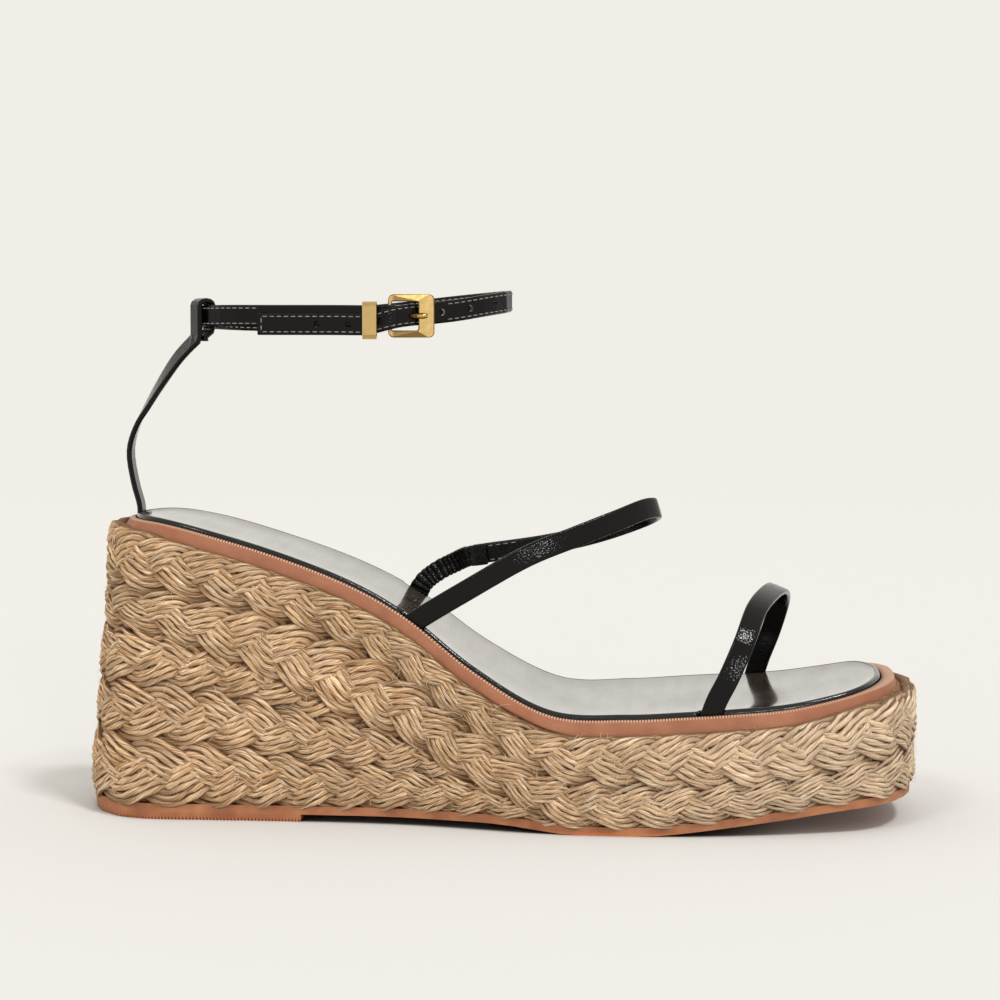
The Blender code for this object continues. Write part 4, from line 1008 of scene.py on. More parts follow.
def gloss_leather(name, colour, scale, grain, rough, coat, shine):
    """Dark glossy leather: scale is its grain's cells a metre, grain their bump's strength, rough the haze,
    coat the weight of a clear coat, and shine the strength of its own mirror.
    """
    made, tree, shader = new_material(name)
    place = object_point(tree)
    height = grain_height(tree, scale)
    smears = noise(tree, place, 55.0, 3.0)
    dull, pale = [tuple(c * k for c in colour) for k in (0.8, 1.2)]
    dress(tree, shader, {
        "Base Color": ramp(tree, smears, (0.25, dull), (0.75, pale)),
        "Roughness": ramp(tree, smears, (0.30, rough * 0.75), (0.70, rough * 1.3)),
        "Specular IOR Level": shine,
        "Normal": bumps(tree, height, grain, 0.00025),
    })
    if coat:
        streaks = put(tree, "VectorMath", {0: place, 1: STREAK_SCALE}, operation="MULTIPLY").outputs[0]
        streaks = ramp(tree, noise(tree, streaks, 1.0, 4.0), (0.30, coat * 0.78), (0.62, coat))
        dress(tree, shader, {"Coat Weight": streaks, "Coat Roughness": 0.08})
    return made


PATENT = gloss_leather("strap_gloss", (0.0030, 0.0029, 0.0030), 1400.0, 0.25, 0.10, 0.0, 0.18)
FOOTBED = gloss_leather("footbed_gloss", (0.050, 0.038, 0.028), 1500.0, 0.04, 0.19, 1.0, 0.50)
RIM = gloss_leather("rim_gloss", (0.0025, 0.0025, 0.003), 1700.0, 0.14, 0.10, 0.0, 0.45)
print("black leathers:", PATENT.name, FOOTBED.name, RIM.name)

# %% [markdown]
# The rand's inner edge is pinked, which means cut with a toothed wheel: the cut ends of the teeth are raw and
# pale, and the gaps between them look dark. The sole is tan rubber. Its edge at the ground is rubbed to a
# brighter orange, and the heel's has fine moulded notches, drawn only as painted shade in dark stripes.

# %% Tan leather
TOOTH_PITCH = 0.00085
TEETH = int(ROUND / TOOTH_PITCH)
RAND_TONES = ((0.25, tone(143, 89, 63)), (0.50, tone(153, 98, 70)), (0.80, tone(164, 109, 80)))
TOOTH_TONES = ((0.35, tone(84, 48, 32)), (0.60, tone(226, 184, 154)))


def tan_leather():
    """Dull tan leather with faint darker patches and a fine grain; its cut teeth are pale, with dark gaps."""
    made, tree, shader = new_material("rand_leather")
    across, around, _ = parts_of(tree, put(tree, "UVMap").outputs[0])
    tooth = times(tree, math_of(tree, "PINGPONG", times(tree, around, TEETH), 0.5), 2.0)
    near_edge = ramp(tree, across, (0.22, 0.75), (0.34, 0.75), (0.46, 0.0))
    plain = ramp(tree, noise(tree, object_point(tree), 160.0, 4.0), *RAND_TONES)
    dress(tree, shader, {
        "Base Color": mix_colours(tree, near_edge, plain, ramp(tree, tooth, *TOOTH_TONES)),
        "Roughness": 0.52,
        "Specular IOR Level": 0.35,
        "Normal": bumps(tree, grain_height(tree, 2600.0), 0.35, 0.0002),
    })
    return made


TAN = tan_leather()
print("teeth round the rand:", TEETH)

# %% Rubber
NOTCH_PITCH = 0.00105
NOTCHES_END = 0.035
RUBBER_TONES = ((0.25, tone(130, 76, 46)), (0.50, tone(155, 97, 61)), (0.80, tone(177, 119, 79)))
RUBBED_EDGE = tone(206, 112, 52)
NOTCH_PAINTED_SHADE = tone(60, 28, 12)


def tan_rubber():
    """Rubber with fine pores; its cut edge at the ground is orange, with a notch at each pitch painted as
    dark shade.
    """
    made, tree, shader = new_material("sole_rubber")
    place = object_point(tree)
    x, y, z = parts_of(tree, place)
    notch_shade = math_of(tree, "PINGPONG", math_of(tree, "SUBTRACT", x, y), NOTCH_PITCH / 2)
    notch_shade = ramp(tree, math_of(tree, "DIVIDE", notch_shade, NOTCH_PITCH / 2), (0.35, 0.0), (0.65, 1.0))
    notch_shade = times(tree, notch_shade, math_of(tree, "LESS_THAN", x, NOTCHES_END))
    low = ramp(tree, times(tree, z, 200.0), (0.06, 1.0), (0.24, 0.0))
    colour = ramp(tree, noise(tree, place, 120.0, 3.0), *RUBBER_TONES)
    colour = mix_colours(tree, times(tree, low, 0.60), colour, RUBBED_EDGE)
    # Painted shade: each notch near the ground is painted dark, as the shade inside it.
    colour = mix_colours(tree, times(tree, low, notch_shade), colour, NOTCH_PAINTED_SHADE)
    pores = noise(tree, place, 1400.0, 3.0)
    dress(tree, shader, {"Base Color": colour, "Roughness": 0.6, "Normal": bumps(tree, pores, 0.35, 0.0002)})
    return made


def cover(node, finish):
    """Gives one of the solids its finish."""
    NODES[node].data.materials.clear()
    NODES[node].data.materials.append(finish)
    print(node, "finish:", finish.name)


RUBBER = tan_rubber()
cover("outsole", RUBBER)

# %% [markdown]
# ## Rand and footbed
# The rand is a thin strip of tan leather over the top edge of the wedge. Its inner edge is cut with fine
# teeth, and it gets slimmer where the wedge drops to the platform. It is one profile carried round the
# outline.

# %% Rand
TOOTH_DEPTH = 0.00070
# The rand is slimmer by this much at this share of the length, and less so for this share each way.
RAND_SLIM = 0.0011
RAND_SLIM_AT = 0.54
RAND_SLIM_REACH = 0.06


def ring_at(shares, offset, rise):
    """Points this far outside the outline and this far above the wedge's top."""
    plan, out = edge(shares)
    flat = plan + out * np.broadcast_to(offset, len(shares))[:, None]
    return np.concatenate([flat, (top_height(flat[:, 0]) + rise)[:, None]], 1)


def make_rand():
    """The strip: a toothed lip on the wedge's top, a rounded corner, and a wall down the side."""
    shares = np.arange(TEETH * 2) / (TEETH * 2)
    x = edge(shares)[0][:, 0]
    tooth = TOOTH_DEPTH * (np.arange(len(shares)) % 2)
    lip = -ledge(x) + GAP + tooth
    tilt = lean(x)
    slim = RAND_SLIM * np.exp(-(((along(x) - RAND_SLIM_AT) / RAND_SLIM_REACH) ** 2))
    foot = -(RAND_DROP - slim)
    top = GAP + RAND_THICKNESS
    corner = RAND_THICKNESS * 0.6
    section = [(lip, GAP), (lip, top - 0.0002), (lip - 0.0001 - tooth * 0.5, top + 0.0001), (lip * 0.5, top)]
    for angle in np.radians((90, 60, 30, 0)):
        section.append((-corner + corner * math.cos(angle), top - corner + corner * math.sin(angle)))
    for share in (0.25, 0.5, 0.75, 0.93):
        bulge = 0.00012 * math.sin(math.pi * share)
        section.append((tilt * share + bulge, (top - corner) * (1 - share) + foot * share))
    section += [(tilt - 0.0001, foot), (tilt - RAND_THICKNESS, foot), (-RAND_THICKNESS + 0 * tilt, -GAP)]
    grid = np.stack([ring_at(shares, offset, rise) for offset, rise in section], 1)
    made = make_piece("rand_strip", grid, TAN, ring_rows=True, flip=True)
    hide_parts("rand")


make_rand()

# %% [markdown]
# The straps go down between the rand and the footbed. Their feet stand at shares of the footbed's length,
# just inside the rand, and lean with the slope there. The footbed's padded rim steps in behind each of them.

# %% Where the straps go down
STRAP_WIDTH = 0.0062
STRAP_THICKNESS = 0.0016
# Share of the footbed's length, and the side: -1 for outer and +1 for inner.
FEET = {
    "toe_outer": (0.7624, -1),
    "toe_inner": (0.8238, 1),
    "vamp_outer": (0.3810, -1),
    "vamp_inner": (0.3659, 1),
    "heel": (0.0, -1),
}


def foot_of(name):
    """Where a strap goes down: its origin, the way ahead along the slope, and the slope's up."""
    length_share, side = FEET[name]
    share = share_at(at_share(length_share), side)
    point, out = edge(np.array([share]))
    inset = float(ledge(at_share(length_share))) + STRAP_THICKNESS / 2 + GAP / 2
    flat = point[0] - out[0] * inset
    run = np.array([-out[0, 1], out[0, 0]])
    step = 0.002
    rise = float(top_height(flat[0] + run[0] * step)) - float(top_height(flat[0] - run[0] * step))
    tangent = unit([run[0], run[1], rise / (2 * step)])
    ahead = tangent if tangent[0] > 0 else -tangent
    origin = np.array([flat[0], flat[1], float(top_height(flat[0])) + 1.5 * GAP])
    up = unit(np.array([0.0, 0.0, 1.0]) - tangent * tangent[2])
    return {"origin": origin, "ahead": ahead, "up": up, "run": share * ROUND}


FOOT = {name: foot_of(name) for name in FEET}
print("straps' feet at X:", {name: round(float(foot["origin"][0]), 4) for name, foot in FOOT.items()})


# %% Footbed
BEAD_RADIUS = 0.00125
RIM_STEPS = 420


def strap_dents(shares):
    """1 beside a strap's foot and 0 elsewhere, so that the rim steps in behind the strap."""
    made = np.zeros(len(shares))
    for foot in FOOT.values():
        away = abs((shares * ROUND - foot["run"] + ROUND / 2) % ROUND - ROUND / 2)
        made = np.maximum(made, 1 - ease(away, STRAP_WIDTH / 2, STRAP_WIDTH / 2 + 0.0008))
    return made


def footbed_sheet(inner, lift):
    """The top: straight lines from side to side of this ring of points, dished a little in the middle."""
    outer_side = inner[: RIM_STEPS + 1]
    inner_side = inner[np.arange(2 * RIM_STEPS, RIM_STEPS - 1, -1) % (2 * RIM_STEPS)]
    across = np.linspace(0, 1, 25)[None, :, None]
    sheet = outer_side[:, None] * (1 - across) + inner_side[:, None] * across
    sheet[..., 2] = top_height(sheet[..., 0]) + lift
    width = np.linalg.norm(outer_side - inner_side, axis=1)[:, None]
    sheet[..., 2] -= INSOLE_DISH * (1 - (2 * across[..., 0] - 1) ** 4) * ease(width, 0.0, 0.03)
    sheet[:, 0, 2], sheet[:, -1, 2] = outer_side[:, 2], inner_side[:, 2]
    return sheet


def make_footbed():
    """The rim's bead as a ring, and the top as a sheet from its outer side to its inner side."""
    shares = np.arange(2 * RIM_STEPS) / (2 * RIM_STEPS)
    rim = -ledge(edge(shares)[0][:, 0]) - strap_dents(shares) * (STRAP_THICKNESS + 1.6 * GAP)
    lift = GAP + INSOLE_RIM
    section = [(rim - 0.0008, GAP * 0.6), (rim - 0.0001, GAP * 0.8)]
    for angle in np.radians(np.linspace(-20, 90, 8)):
        reach = 0.9 * (1 - math.cos(angle)) * BEAD_RADIUS
        section.append((rim - reach, lift - BEAD_RADIUS + BEAD_RADIUS * math.sin(angle)))
    section.append((rim - BEAD_RADIUS * 1.35, lift - 0.00012))
    ring = np.stack([ring_at(shares, offset, rise) for offset, rise in section], 1)
    edge_piece = make_piece("footbed_rim", ring, RIM, ring_rows=True, flip=True)
    inner = ring_at(shares, rim - BEAD_RADIUS * 1.30, lift - 0.00010)
    sheet = footbed_sheet(inner, lift - 0.00010)
    top = make_piece("footbed_top", sheet, FOOTBED, ring_columns=False, flip=True)
    for piece in (edge_piece, top):
        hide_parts("insole")


make_footbed()

# %% [markdown]
# ## Straps
# A strap is a rounded rectangle carried along a smooth path. Its edges are rolled, its face is a little full,
# and its ends are cut to the slope of the footbed. The paths are the same as those of the solids.

# %% A strap's grid
def path_frame(centre, hint):
    """Directions along, across and out of the face at each point of a strap's path."""
    tangent = unit(np.gradient(centre, axis=0))
    across = np.broadcast_to(np.asarray(hint, float), centre.shape)
    across = unit(across - tangent * np.sum(across * tangent, axis=1, keepdims=True))
    return tangent, across, np.cross(tangent, across)


def strap_section(width, thickness, corner, fill):
    """Points (across, out) round a rounded rectangle for each row; its faces swell by fill."""
    half_w = np.asarray(width, float)[:, None] / 2
    half_t = np.asarray(thickness, float)[:, None] / 2
    radius = corner * half_t
    a, f = [], []
    for quarter, (sa, sf) in enumerate(((1, 1), (-1, 1), (-1, -1), (1, -1))):
        angles = np.radians(np.linspace(quarter * 90, quarter * 90 + 90, 5))
        a.append(sa * (half_w - radius) + radius * np.cos(angles))
        f.append(sf * (half_t - radius) + radius * np.sin(angles))
        if quarter in (0, 2):
            share = np.linspace(0, 1, 7)[1:-1]
            a.append(sa * (half_w - radius) * (1 - 2 * share))
            f.append(sf * half_t + 0 * a[-1])
    a, f = [np.concatenate(parts, 1) for parts in (a, f)]
    return a, f + np.sign(f) * fill * (1 - (a / half_w) ** 2)


def strap_grid(centre, hint, width, thickness, feet=(None, None), corner=0.72, fill=0.00010):
    """A strap's points, row by row: centre + across * a + face * f, with its feet cut to the slope."""
    centre = np.asarray(centre, float)
    tangent, across, face = path_frame(centre, hint)
    count = len(centre)
    a, f = strap_section(np.broadcast_to(width, count), np.broadcast_to(thickness, count), corner, fill)
    grid = centre[:, None] + across[:, None] * a[..., None] + face[:, None] * f[..., None]
    for end, foot in zip((0, -1), feet):
        if foot is not None:
            run = tangent[end]
            gap = (foot["origin"] - grid[end]) @ foot["up"] / (run @ foot["up"])
            grid[end] += gap[:, None] * run
    return grid


def arch_points(outer, inner, rows, reach, height):
    """A strap's guide points: share across between its feet, of its reach, and of its height."""
    made = []
    for across, ahead, up in rows:
        base = outer["origin"] + (inner["origin"] - outer["origin"]) * across
        made.append(base + np.array([reach * ahead, 0.0, height * up]))
    return made


def lean_hint(degrees):
    """The direction across a strap whose upper edge leans back by this angle."""
    turn = np.radians(np.asarray(degrees, float))
    return np.stack([-np.sin(turn), np.zeros_like(turn), np.cos(turn)], -1)


print("across a strap that leans back by 30 degrees:", np.round(lean_hint(30.0), 3))

# %% Toe strap
TOE_STRAP_REACH = 0.0146
TOE_STRAP_HEIGHT = 0.0330
TOE_STRAP_LEAN = -112.0
TOE_ARCH = (
    (-0.004, 0.14, 0.16),
    (-0.006, 0.37, 0.36),
    (0.040, 0.63, 0.66),
    (0.175, 0.74, 0.90),
    (0.390, 0.84, 1.00),
    (0.600, 0.86, 0.98),
    (0.800, 0.72, 0.81),
    (0.930, 0.42, 0.48),
    (0.980, 0.15, 0.20),
)


def make_toe_strap():
    """The strap over the toes, turned from edge-on at its feet to lying back at its crown."""
    outer, inner = FOOT["toe_outer"], FOOT["toe_inner"]
    rows = arch_points(outer, inner, TOE_ARCH, TOE_STRAP_REACH, TOE_STRAP_HEIGHT)
    path = spline([outer["origin"], *rows, inner["origin"]], 14)
    crown = lean_hint(TOE_STRAP_LEAN)
    ends = np.array([outer["ahead"], crown, crown, inner["ahead"]])
    hint = points_at(np.linspace(0, 1, len(path)), (0.0, 0.2, 0.8, 1.0), ends)
    grid = strap_grid(path, hint, STRAP_WIDTH, STRAP_THICKNESS, (outer, inner))
    made = make_piece("toe_strap_leather", grid, PATENT, caps=True)
    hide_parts("toe_strap")


make_toe_strap()

# %% Vamp strap
VAMP_STRAP_REACH = 0.0727
VAMP_STRAP_HEIGHT = 0.0339
VAMP_ARCH = (
    (-0.008, 0.060, 0.085),
    (-0.045, 0.220, 0.300),
    (-0.020, 0.470, 0.600),
    (0.075, 0.670, 0.755),
    (0.210, 0.845, 0.875),
    (0.360, 0.960, 0.940),
    (0.490, 1.010, 0.920),
    (0.670, 0.975, 0.820),
    (0.850, 0.775, 0.625),
    (0.925, 0.570, 0.505),
    (0.965, 0.255, 0.395),
)
# Shares of the path, and how far the strap leans back there, in degrees.
VAMP_TURN = ((0, 0.45, 0.62, 1), (30, 24, 16, 26))


def vamp_path():
    """The vamp strap's middle line, and the direction across it."""
    outer, inner = FOOT["vamp_outer"], FOOT["vamp_inner"]
    rows = arch_points(outer, inner, VAMP_ARCH, VAMP_STRAP_REACH, VAMP_STRAP_HEIGHT)
    path = spline([outer["origin"], *rows], 14)
    return path, lean_hint(np.interp(np.linspace(0, 1, len(path)), *VAMP_TURN))


def make_vamp_strap():
    """The strap over the instep, up to the cut end of its tab."""
    path, hint = vamp_path()
    grid = strap_grid(path, hint, STRAP_WIDTH, STRAP_THICKNESS, (FOOT["vamp_outer"], None))
    made = make_piece("vamp_strap_leather", grid, PATENT, caps=True)
    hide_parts("vamp_strap")


make_vamp_strap()

# %% [markdown]
# The vamp strap's inner end hangs on a short gore: cloth sewn over two elastic bands, which draw it together,
# so that it stands up in folds. The folds are a wave in its thickness, pinched flat along the seams.

# %% Ruched gore
GORE_ARCH = (
    (0.985, 0.17, 0.32),
    (1.000, 0.10, 0.24),
    (1.000, 0.035, 0.13),
)
GORE_WIDTH = 0.0066
GORE_THICKNESS = 0.0026
GORE_LAP = 0.0040
GORE_PITCH = 0.00175
GORE_SEAM_DEPTH = 0.00042
GORE_LEAN = 28.0


def gore_line():
    """The gore's middle line, from under the strap's tab down to the footbed, and the length along it."""
    path, hint = vamp_path()
    tangent, _, face = path_frame(path, hint)
    inward = -face[-1] * np.sign(face[-1, 1])
    under = inward * (STRAP_THICKNESS / 2 + GORE_THICKNESS / 2 + 2 * GAP)
    lapped = [path[-1] + tangent[-1] * GORE_LAP * share + under for share in (-1, -0.5, 0, 0.5)]
    outer, inner = FOOT["vamp_outer"], FOOT["vamp_inner"]
    rows = arch_points(outer, inner, GORE_ARCH, VAMP_STRAP_REACH, VAMP_STRAP_HEIGHT)
    guide = spline([*lapped, *rows, inner["origin"]], 12)
    run = path_length(guide)
    stations = np.linspace(0, run[-1], 340)
    return points_at(stations, run, guide), stations


def make_gore():
    """The elastic gore: its cloth stands up in folds over two hidden bands.

    thickness = thin + full * |sin(pi length / pitch)| ** 0.7, less along the seams.
    """
    line, run = gore_line()
    free = ease(run, GORE_LAP * 0.8, GORE_LAP * 1.2) * (1 - ease(run, run[-1] - 0.004, run[-1] - 0.001))
    wave = abs(np.sin(np.pi * run / GORE_PITCH + 0.5 * np.sin(run * 900))) ** 0.7
    thin = STRAP_THICKNESS * 0.75
    thick = thin + (GORE_THICKNESS - thin) * (0.35 + 0.65 * wave) * free
    width = GORE_WIDTH - (0.0005 * (1 - wave) + 0.0002) * free
    hint = lean_hint(GORE_LEAN)
    grid = strap_grid(line, hint, width, thick, (None, FOOT["vamp_inner"]), corner=0.5, fill=0.0)
    _, across, out = path_frame(line, hint)
    off = grid - line[:, None]
    a = np.sum(off * across[:, None], -1) / (GORE_WIDTH / 2)
    seam = np.exp(-((a / 0.16) ** 2)) + 0.6 * np.exp(-(((abs(a) - 0.62) / 0.14) ** 2))
    side = np.sign(np.sum(off * out[:, None], -1))
    pinch = side * seam * GORE_SEAM_DEPTH * free[:, None] * (0.4 + 0.6 * wave[:, None])
    made = make_piece("vamp_gore", grid - out[:, None] * pinch[..., None], PATENT, caps=True)
    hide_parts("vamp_elastic")


make_gore()

# %% [markdown]
# ## Ankle strap, heel strap and stitches
# The solids of these two straps already have their holes, folds and laps, so they stay and take the gloss
# leather. Pale-edged stitches run along both edges of the ankle strap, round its tail and across the tab.
# A stitch is a short bead that sinks into the leather at both ends; all of one seam are one joined mesh.

# %% Leather on the strap solids
for node in ("ankle_strap", "heel_strap"):
    cover(node, PATENT)

# %% Thread and stitches
THREAD_COLOUR = (0.20, 0.195, 0.185)
STITCH_PITCH = 0.00205
STITCH_LENGTH = 0.00150
STITCH_RADIUS = 0.00017
STITCH_POINTS = 6


def thread_finish():
    """Waxed thread: a fine twist over a plain colour."""
    made, tree, shader = new_material("waxed_thread")
    twist = noise(tree, object_point(tree), 3500.0, 1.0)
    low, high = [tuple(c * k for c in THREAD_COLOUR) for k in (0.6, 1.5)]
    dress(tree, shader, {
        "Base Color": ramp(tree, twist, (0.35, low), (0.65, high)),
        "Roughness": 0.42,
        "Normal": bumps(tree, twist, 0.5, 0.0001),
    })
    return made


THREAD = thread_finish()


def stitches(name, path, out):
    """Beads along a path, one a pitch: out * radius * (0.9 sin(pi t) ** 0.5 - 0.2) lifts their middle."""
    run = path_length(path)
    count = int(run[-1] / STITCH_PITCH)
    t = np.linspace(0, 1, STITCH_POINTS)
    first = (np.arange(count) + 0.5) * run[-1] / count - STITCH_LENGTH / 2
    stations = first[:, None] + t[None] * STITCH_LENGTH
    lift = unit(points_at(stations, run, out))
    full = np.sin(np.pi * t) ** 0.5
    line = points_at(stations, run, path) + lift * (STITCH_RADIUS * (0.9 * full - 0.2))[None, :, None]
    rings = tubes(line, STITCH_RADIUS * (0.45 + 0.55 * full), 6, -lift)
    made = make_piece(name, rings, THREAD, caps=True)
    return made


# %% [markdown]
# The stitches of the ankle strap need its line. It is a closed loop round the ankle, longer than wide, that
# rises to the front. Behind the buckle the strap's free tail lies over it, lifted off by the buckle's bar.

# %% Ankle strap's line
ANKLE_WIDTH = 0.0064
ANKLE_THICKNESS = 0.0015
ANKLE_LOOP_LENGTH = 0.0940
ANKLE_LOOP_BREADTH = 0.0480
ANKLE_LOOP_BACK = -0.0004
ANKLE_HEIGHT = 0.1490
ANKLE_FRONT_RISE = 0.0042
HINGE_X = 0.0601
# Share of the loop's length ahead, of its breadth across, and of its rise.
ANKLE_LOOP = (
    (0.000, 0.00, -0.15),
    (0.030, -0.27, -0.05),
    (0.120, -0.43, 0.00),
    (0.250, -0.49, 0.00),
    (0.450, -0.50, 0.00),
    (0.650, -0.47, 0.00),
    (0.820, -0.37, 0.30),
    (0.940, -0.21, 0.75),
    (1.000, 0.00, 1.00),
    (0.940, 0.22, 0.90),
    (0.800, 0.38, 0.60),
    (0.600, 0.47, 0.10),
    (0.400, 0.50, -0.30),
    (0.200, 0.47, -0.45),
    (0.070, 0.33, -0.35),
)


def ankle_base():
    """The closed base line of the ankle strap, its length, and the length at the hinge bar."""
    start = np.array([ANKLE_LOOP_BACK, 0.0, ANKLE_HEIGHT])
    sizes = (ANKLE_LOOP_LENGTH, ANKLE_LOOP_BREADTH, ANKLE_FRONT_RISE)
    line = spline(start + np.array(ANKLE_LOOP) * sizes, 24, closed=True)
    line = np.vstack([line, line[:1]])
    run = path_length(line)
    gap = np.where(line[:, 1] < 0, abs(line[:, 0] - HINGE_X), 1.0)
    return line, run, float(run[int(np.argmin(gap))])


ANKLE_LINE, ANKLE_RUN, ANKLE_HINGE = ankle_base()
ANKLE_ROUND = float(ANKLE_RUN[-1])


def ankle_base_at(ahead):
    """Points of the base line at these lengths forward of the hinge bar."""
    return points_at((ANKLE_HINGE + ahead) % ANKLE_ROUND, ANKLE_RUN, ANKLE_LINE)


def ankle_place(ahead, outward, rise):
    """Points on the strap and the level direction out of it, at lengths forward of the hinge bar."""
    run = ankle_base_at(ahead + 0.0012) - ankle_base_at(ahead - 0.0012)
    run[..., 2] = 0.0
    run = unit(run)
    out = np.stack([run[..., 1], -run[..., 0], 0 * run[..., 0]], -1)
    made = ankle_base_at(ahead) + out * np.broadcast_to(outward, ahead.shape)[..., None]
    made[..., 2] += rise
    return made, out


print("round the ankle:", round(ANKLE_ROUND * 1000, 1), "mm")

# %% Stitches on the ankle strap
SEAM_INSET = 0.00095
SEAM_HEIGHTS = (ANKLE_WIDTH / 2 - SEAM_INSET, -ANKLE_WIDTH / 2 + SEAM_INSET)
SEAM_SURFACE = ANKLE_THICKNESS / 2 + 0.00002
BUCKLE_FRONT = 0.0129
TAIL_LENGTH = 0.0385
TAIL_SEAM_END = -TAIL_LENGTH + 0.0012
TAIL_DROP = 0.0024
TAIL_LIFT = 0.00265
# Tail: shares of the buckle's front, of its lift over the bar, and of its drop below the strap.
TAIL_LINE = (
    (0.992, 0.00, 0.00),
    (0.660, 0.00, 0.00),
    (0.505, 0.19, 0.00),
    (0.310, 0.62, 0.05),
    (0.116, 0.96, 0.15),
    (0.000, 1.00, 0.28),
    (-0.116, 0.98, 0.42),
    (-0.310, 0.82, 0.70),
    (-0.543, 0.72, 1.00),
)

seams = []
past_tail = np.linspace(-ANKLE_ROUND + BUCKLE_FRONT + 0.004, -0.0390, 400)
for k, up in enumerate(SEAM_HEIGHTS):
    for side, word in ((1, "outside"), (-1, "inside")):
        spot, out = ankle_place(past_tail, side * SEAM_SURFACE, up)
        seams.append(stitches(f"seam_{word}_{k}", spot, out * side))
tail_run = np.linspace(BUCKLE_FRONT * 0.9, TAIL_SEAM_END, 90)
tail_line = spline(TAIL_LINE, 12)[::-1]
tail_ahead = tail_line[:, 0] * BUCKLE_FRONT
tail_out = TAIL_LIFT * np.interp(tail_run, tail_ahead, tail_line[:, 1]) + SEAM_SURFACE
tail_down = TAIL_DROP * np.interp(tail_run, tail_ahead, tail_line[:, 2])
for k, up in enumerate(SEAM_HEIGHTS):
    spot, out = ankle_place(tail_run, tail_out, up - tail_down)
    seams.append(stitches(f"seam_tail_{k}", spot, out))
end_up = np.linspace(*SEAM_HEIGHTS, 20)
spot, out = ankle_place(np.full(20, TAIL_SEAM_END), tail_out[-1], end_up - TAIL_DROP)
seams.append(stitches("seam_tail_end", spot, out))

# %% Stitches on the vamp strap's tab
TAB_LENGTH = 0.0145
TAB_SEAM_INSET = 0.0009
TAB_END_INSET = 0.0006


def tab_seams():
    """Two rows of stitches on each face of the tab, along its edges."""
    path, hint = vamp_path()
    _, across, face = path_frame(path, hint)
    run = path_length(path)
    keep = (run > run[-1] - TAB_LENGTH) & (run < run[-1] - TAB_END_INSET)
    made = []
    for side in (1, -1):
        for k, shift in enumerate((1, -1)):
            offset = shift * (STRAP_WIDTH / 2 - TAB_SEAM_INSET)
            line = path[keep] + across[keep] * offset + face[keep] * side * (STRAP_THICKNESS / 2 + 0.00008)
            made.append(stitches(f"seam_tab_{k}_{'ab'[side > 0]}", line, face[keep] * side))
    return made


seams += tab_seams()
print("seams:", len(seams))

# %% [markdown]
# ## Gold buckle and keeper
# The buckle, its prong and the keeper are polished gold-coloured metal. Their solids keep their shape. A
# small bevel rounds every sharp edge, and smears in the roughness keep the polish from looking new. Its
# colour
# holds a painted reflection: pale on the flat faces and dark on the slopes, as if they mirrored a dark
# studio, read from each face's own direction.

# %% Gold
BUCKLE_OUT = tuple(ankle_place(np.array([BUCKLE_FRONT / 2]), 0.0, 0.0)[1][0])
GOLD_PAINTED_REFLECTION_TONES = ((0.04, tone(212, 182, 122)), (0.20, tone(104, 72, 32)), (0.60, tone(206, 172, 104)))
GOLD_SMEAR = tone(150, 112, 56)
# Each metal solid, and the width of the bevel on its edges.
METAL_BEVELS = (("buckle_frame", 0.00016), ("keeper", 0.00018), ("buckle_prong", 0.00008))


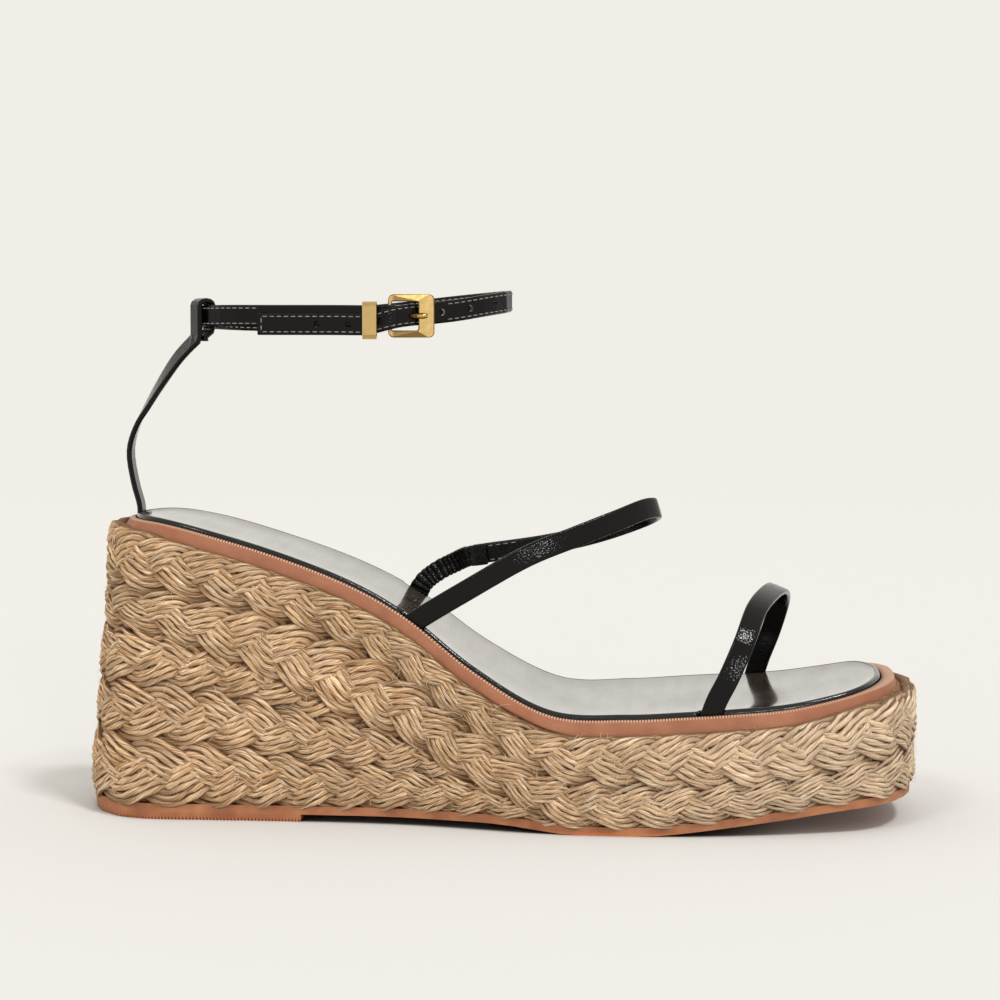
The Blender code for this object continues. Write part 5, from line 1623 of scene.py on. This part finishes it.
def gold_finish():
    """Polished plating with a painted reflection: pale on faces that look straight out of the strap, darker
    on slopes, with smears.
    """
    made, tree, shader = new_material("gold_plate")
    smears = noise(tree, object_point(tree), 420.0, 4.0)
    normal = put(tree, "TexCoord").outputs["Normal"]
    straight = put(tree, "VectorMath", {0: normal, 1: BUCKLE_OUT}, operation="DOT_PRODUCT").outputs["Value"]
    slope = math_of(tree, "SUBTRACT", 1.0, math_of(tree, "ABSOLUTE", straight))
    # Painted reflection: slopes are coloured dark, as a mirror of dark surroundings on the bevels.
    painted_reflection = ramp(tree, slope, *GOLD_PAINTED_REFLECTION_TONES)
    dress(tree, shader, {
        "Base Color": mix_colours(tree, times(tree, smears, 0.25), painted_reflection, GOLD_SMEAR),
        "Roughness": ramp(tree, smears, (0.30, 0.16), (0.70, 0.30)),
        "Metallic": 1.0,
        "Normal": bumps(tree, smears, 0.25, 0.0001),
    })
    return made


GOLD = gold_finish()
for node, width in METAL_BEVELS:
    cover(node, GOLD)
    bevel = NODES[node].modifiers.new("edge", "BEVEL")
    bevel.width = width
    bevel.segments = 2
    bevel.limit_method = "ANGLE"
    bevel.angle_limit = math.radians(35)

# %% [markdown]
# ## Loose fibres
# Jute sheds. About 1,500 hair-thin fibres lift off the braid, each a short arc along its side. They are all
# worked out together as arrays, and a fibre is only a three-sided tube, because nobody sees more of it.

# %% Loose fibres
FIBRE_COUNT = 1500
FIBRE_RADIUS = 0.00006
FIBRE_START_DEPTH = 0.0004
FIBRE_TONES = ((0.35, tone(214, 184, 140)), (0.65, tone(250, 236, 212)))


def fibre_finish():
    """Pale fibre, uneven from place to place."""
    made, tree, shader = new_material("loose_fibre")
    shift = noise(tree, object_point(tree), 300.0)
    dress(tree, shader, {"Base Color": ramp(tree, shift, *FIBRE_TONES), "Roughness": 0.6})
    return made


def chances(low, high):
    """One seeded number for each fibre, as a column."""
    return CHANCE.uniform(low, high, FIBRE_COUNT)[:, None]


def make_fibres():
    """Arcs on the wedge's side: start + tangent * length * t + outward * lift * sin(pi t)."""
    run = chances(0, ROUND)
    foot, top = wall_foot(x_of(run)), wall_top(x_of(run))
    height = foot + (top - foot) * chances(0.02, 0.99)
    t = np.linspace(0, 1, 8)
    heading = chances(0, 2 * np.pi)
    reach = chances(0.002, 0.0075)
    lift = chances(0.0002, 0.0013)
    angle = heading + chances(-1.2, 1.2) * t
    along_run = run + reach * t * np.cos(angle)
    up = np.clip(height + reach * t * np.sin(angle) * 0.7, foot + 0.0006, top + 0.0025)
    depth = FIBRE_START_DEPTH - lift * np.sin(np.pi * t * chances(0.5, 1.0))
    rings = tubes(wall_point(along_run, up, depth), FIBRE_RADIUS * (1 - 0.6 * t), 3)
    made = make_piece("loose_fibres", rings, fibre_finish(), caps=True)


make_fibres()
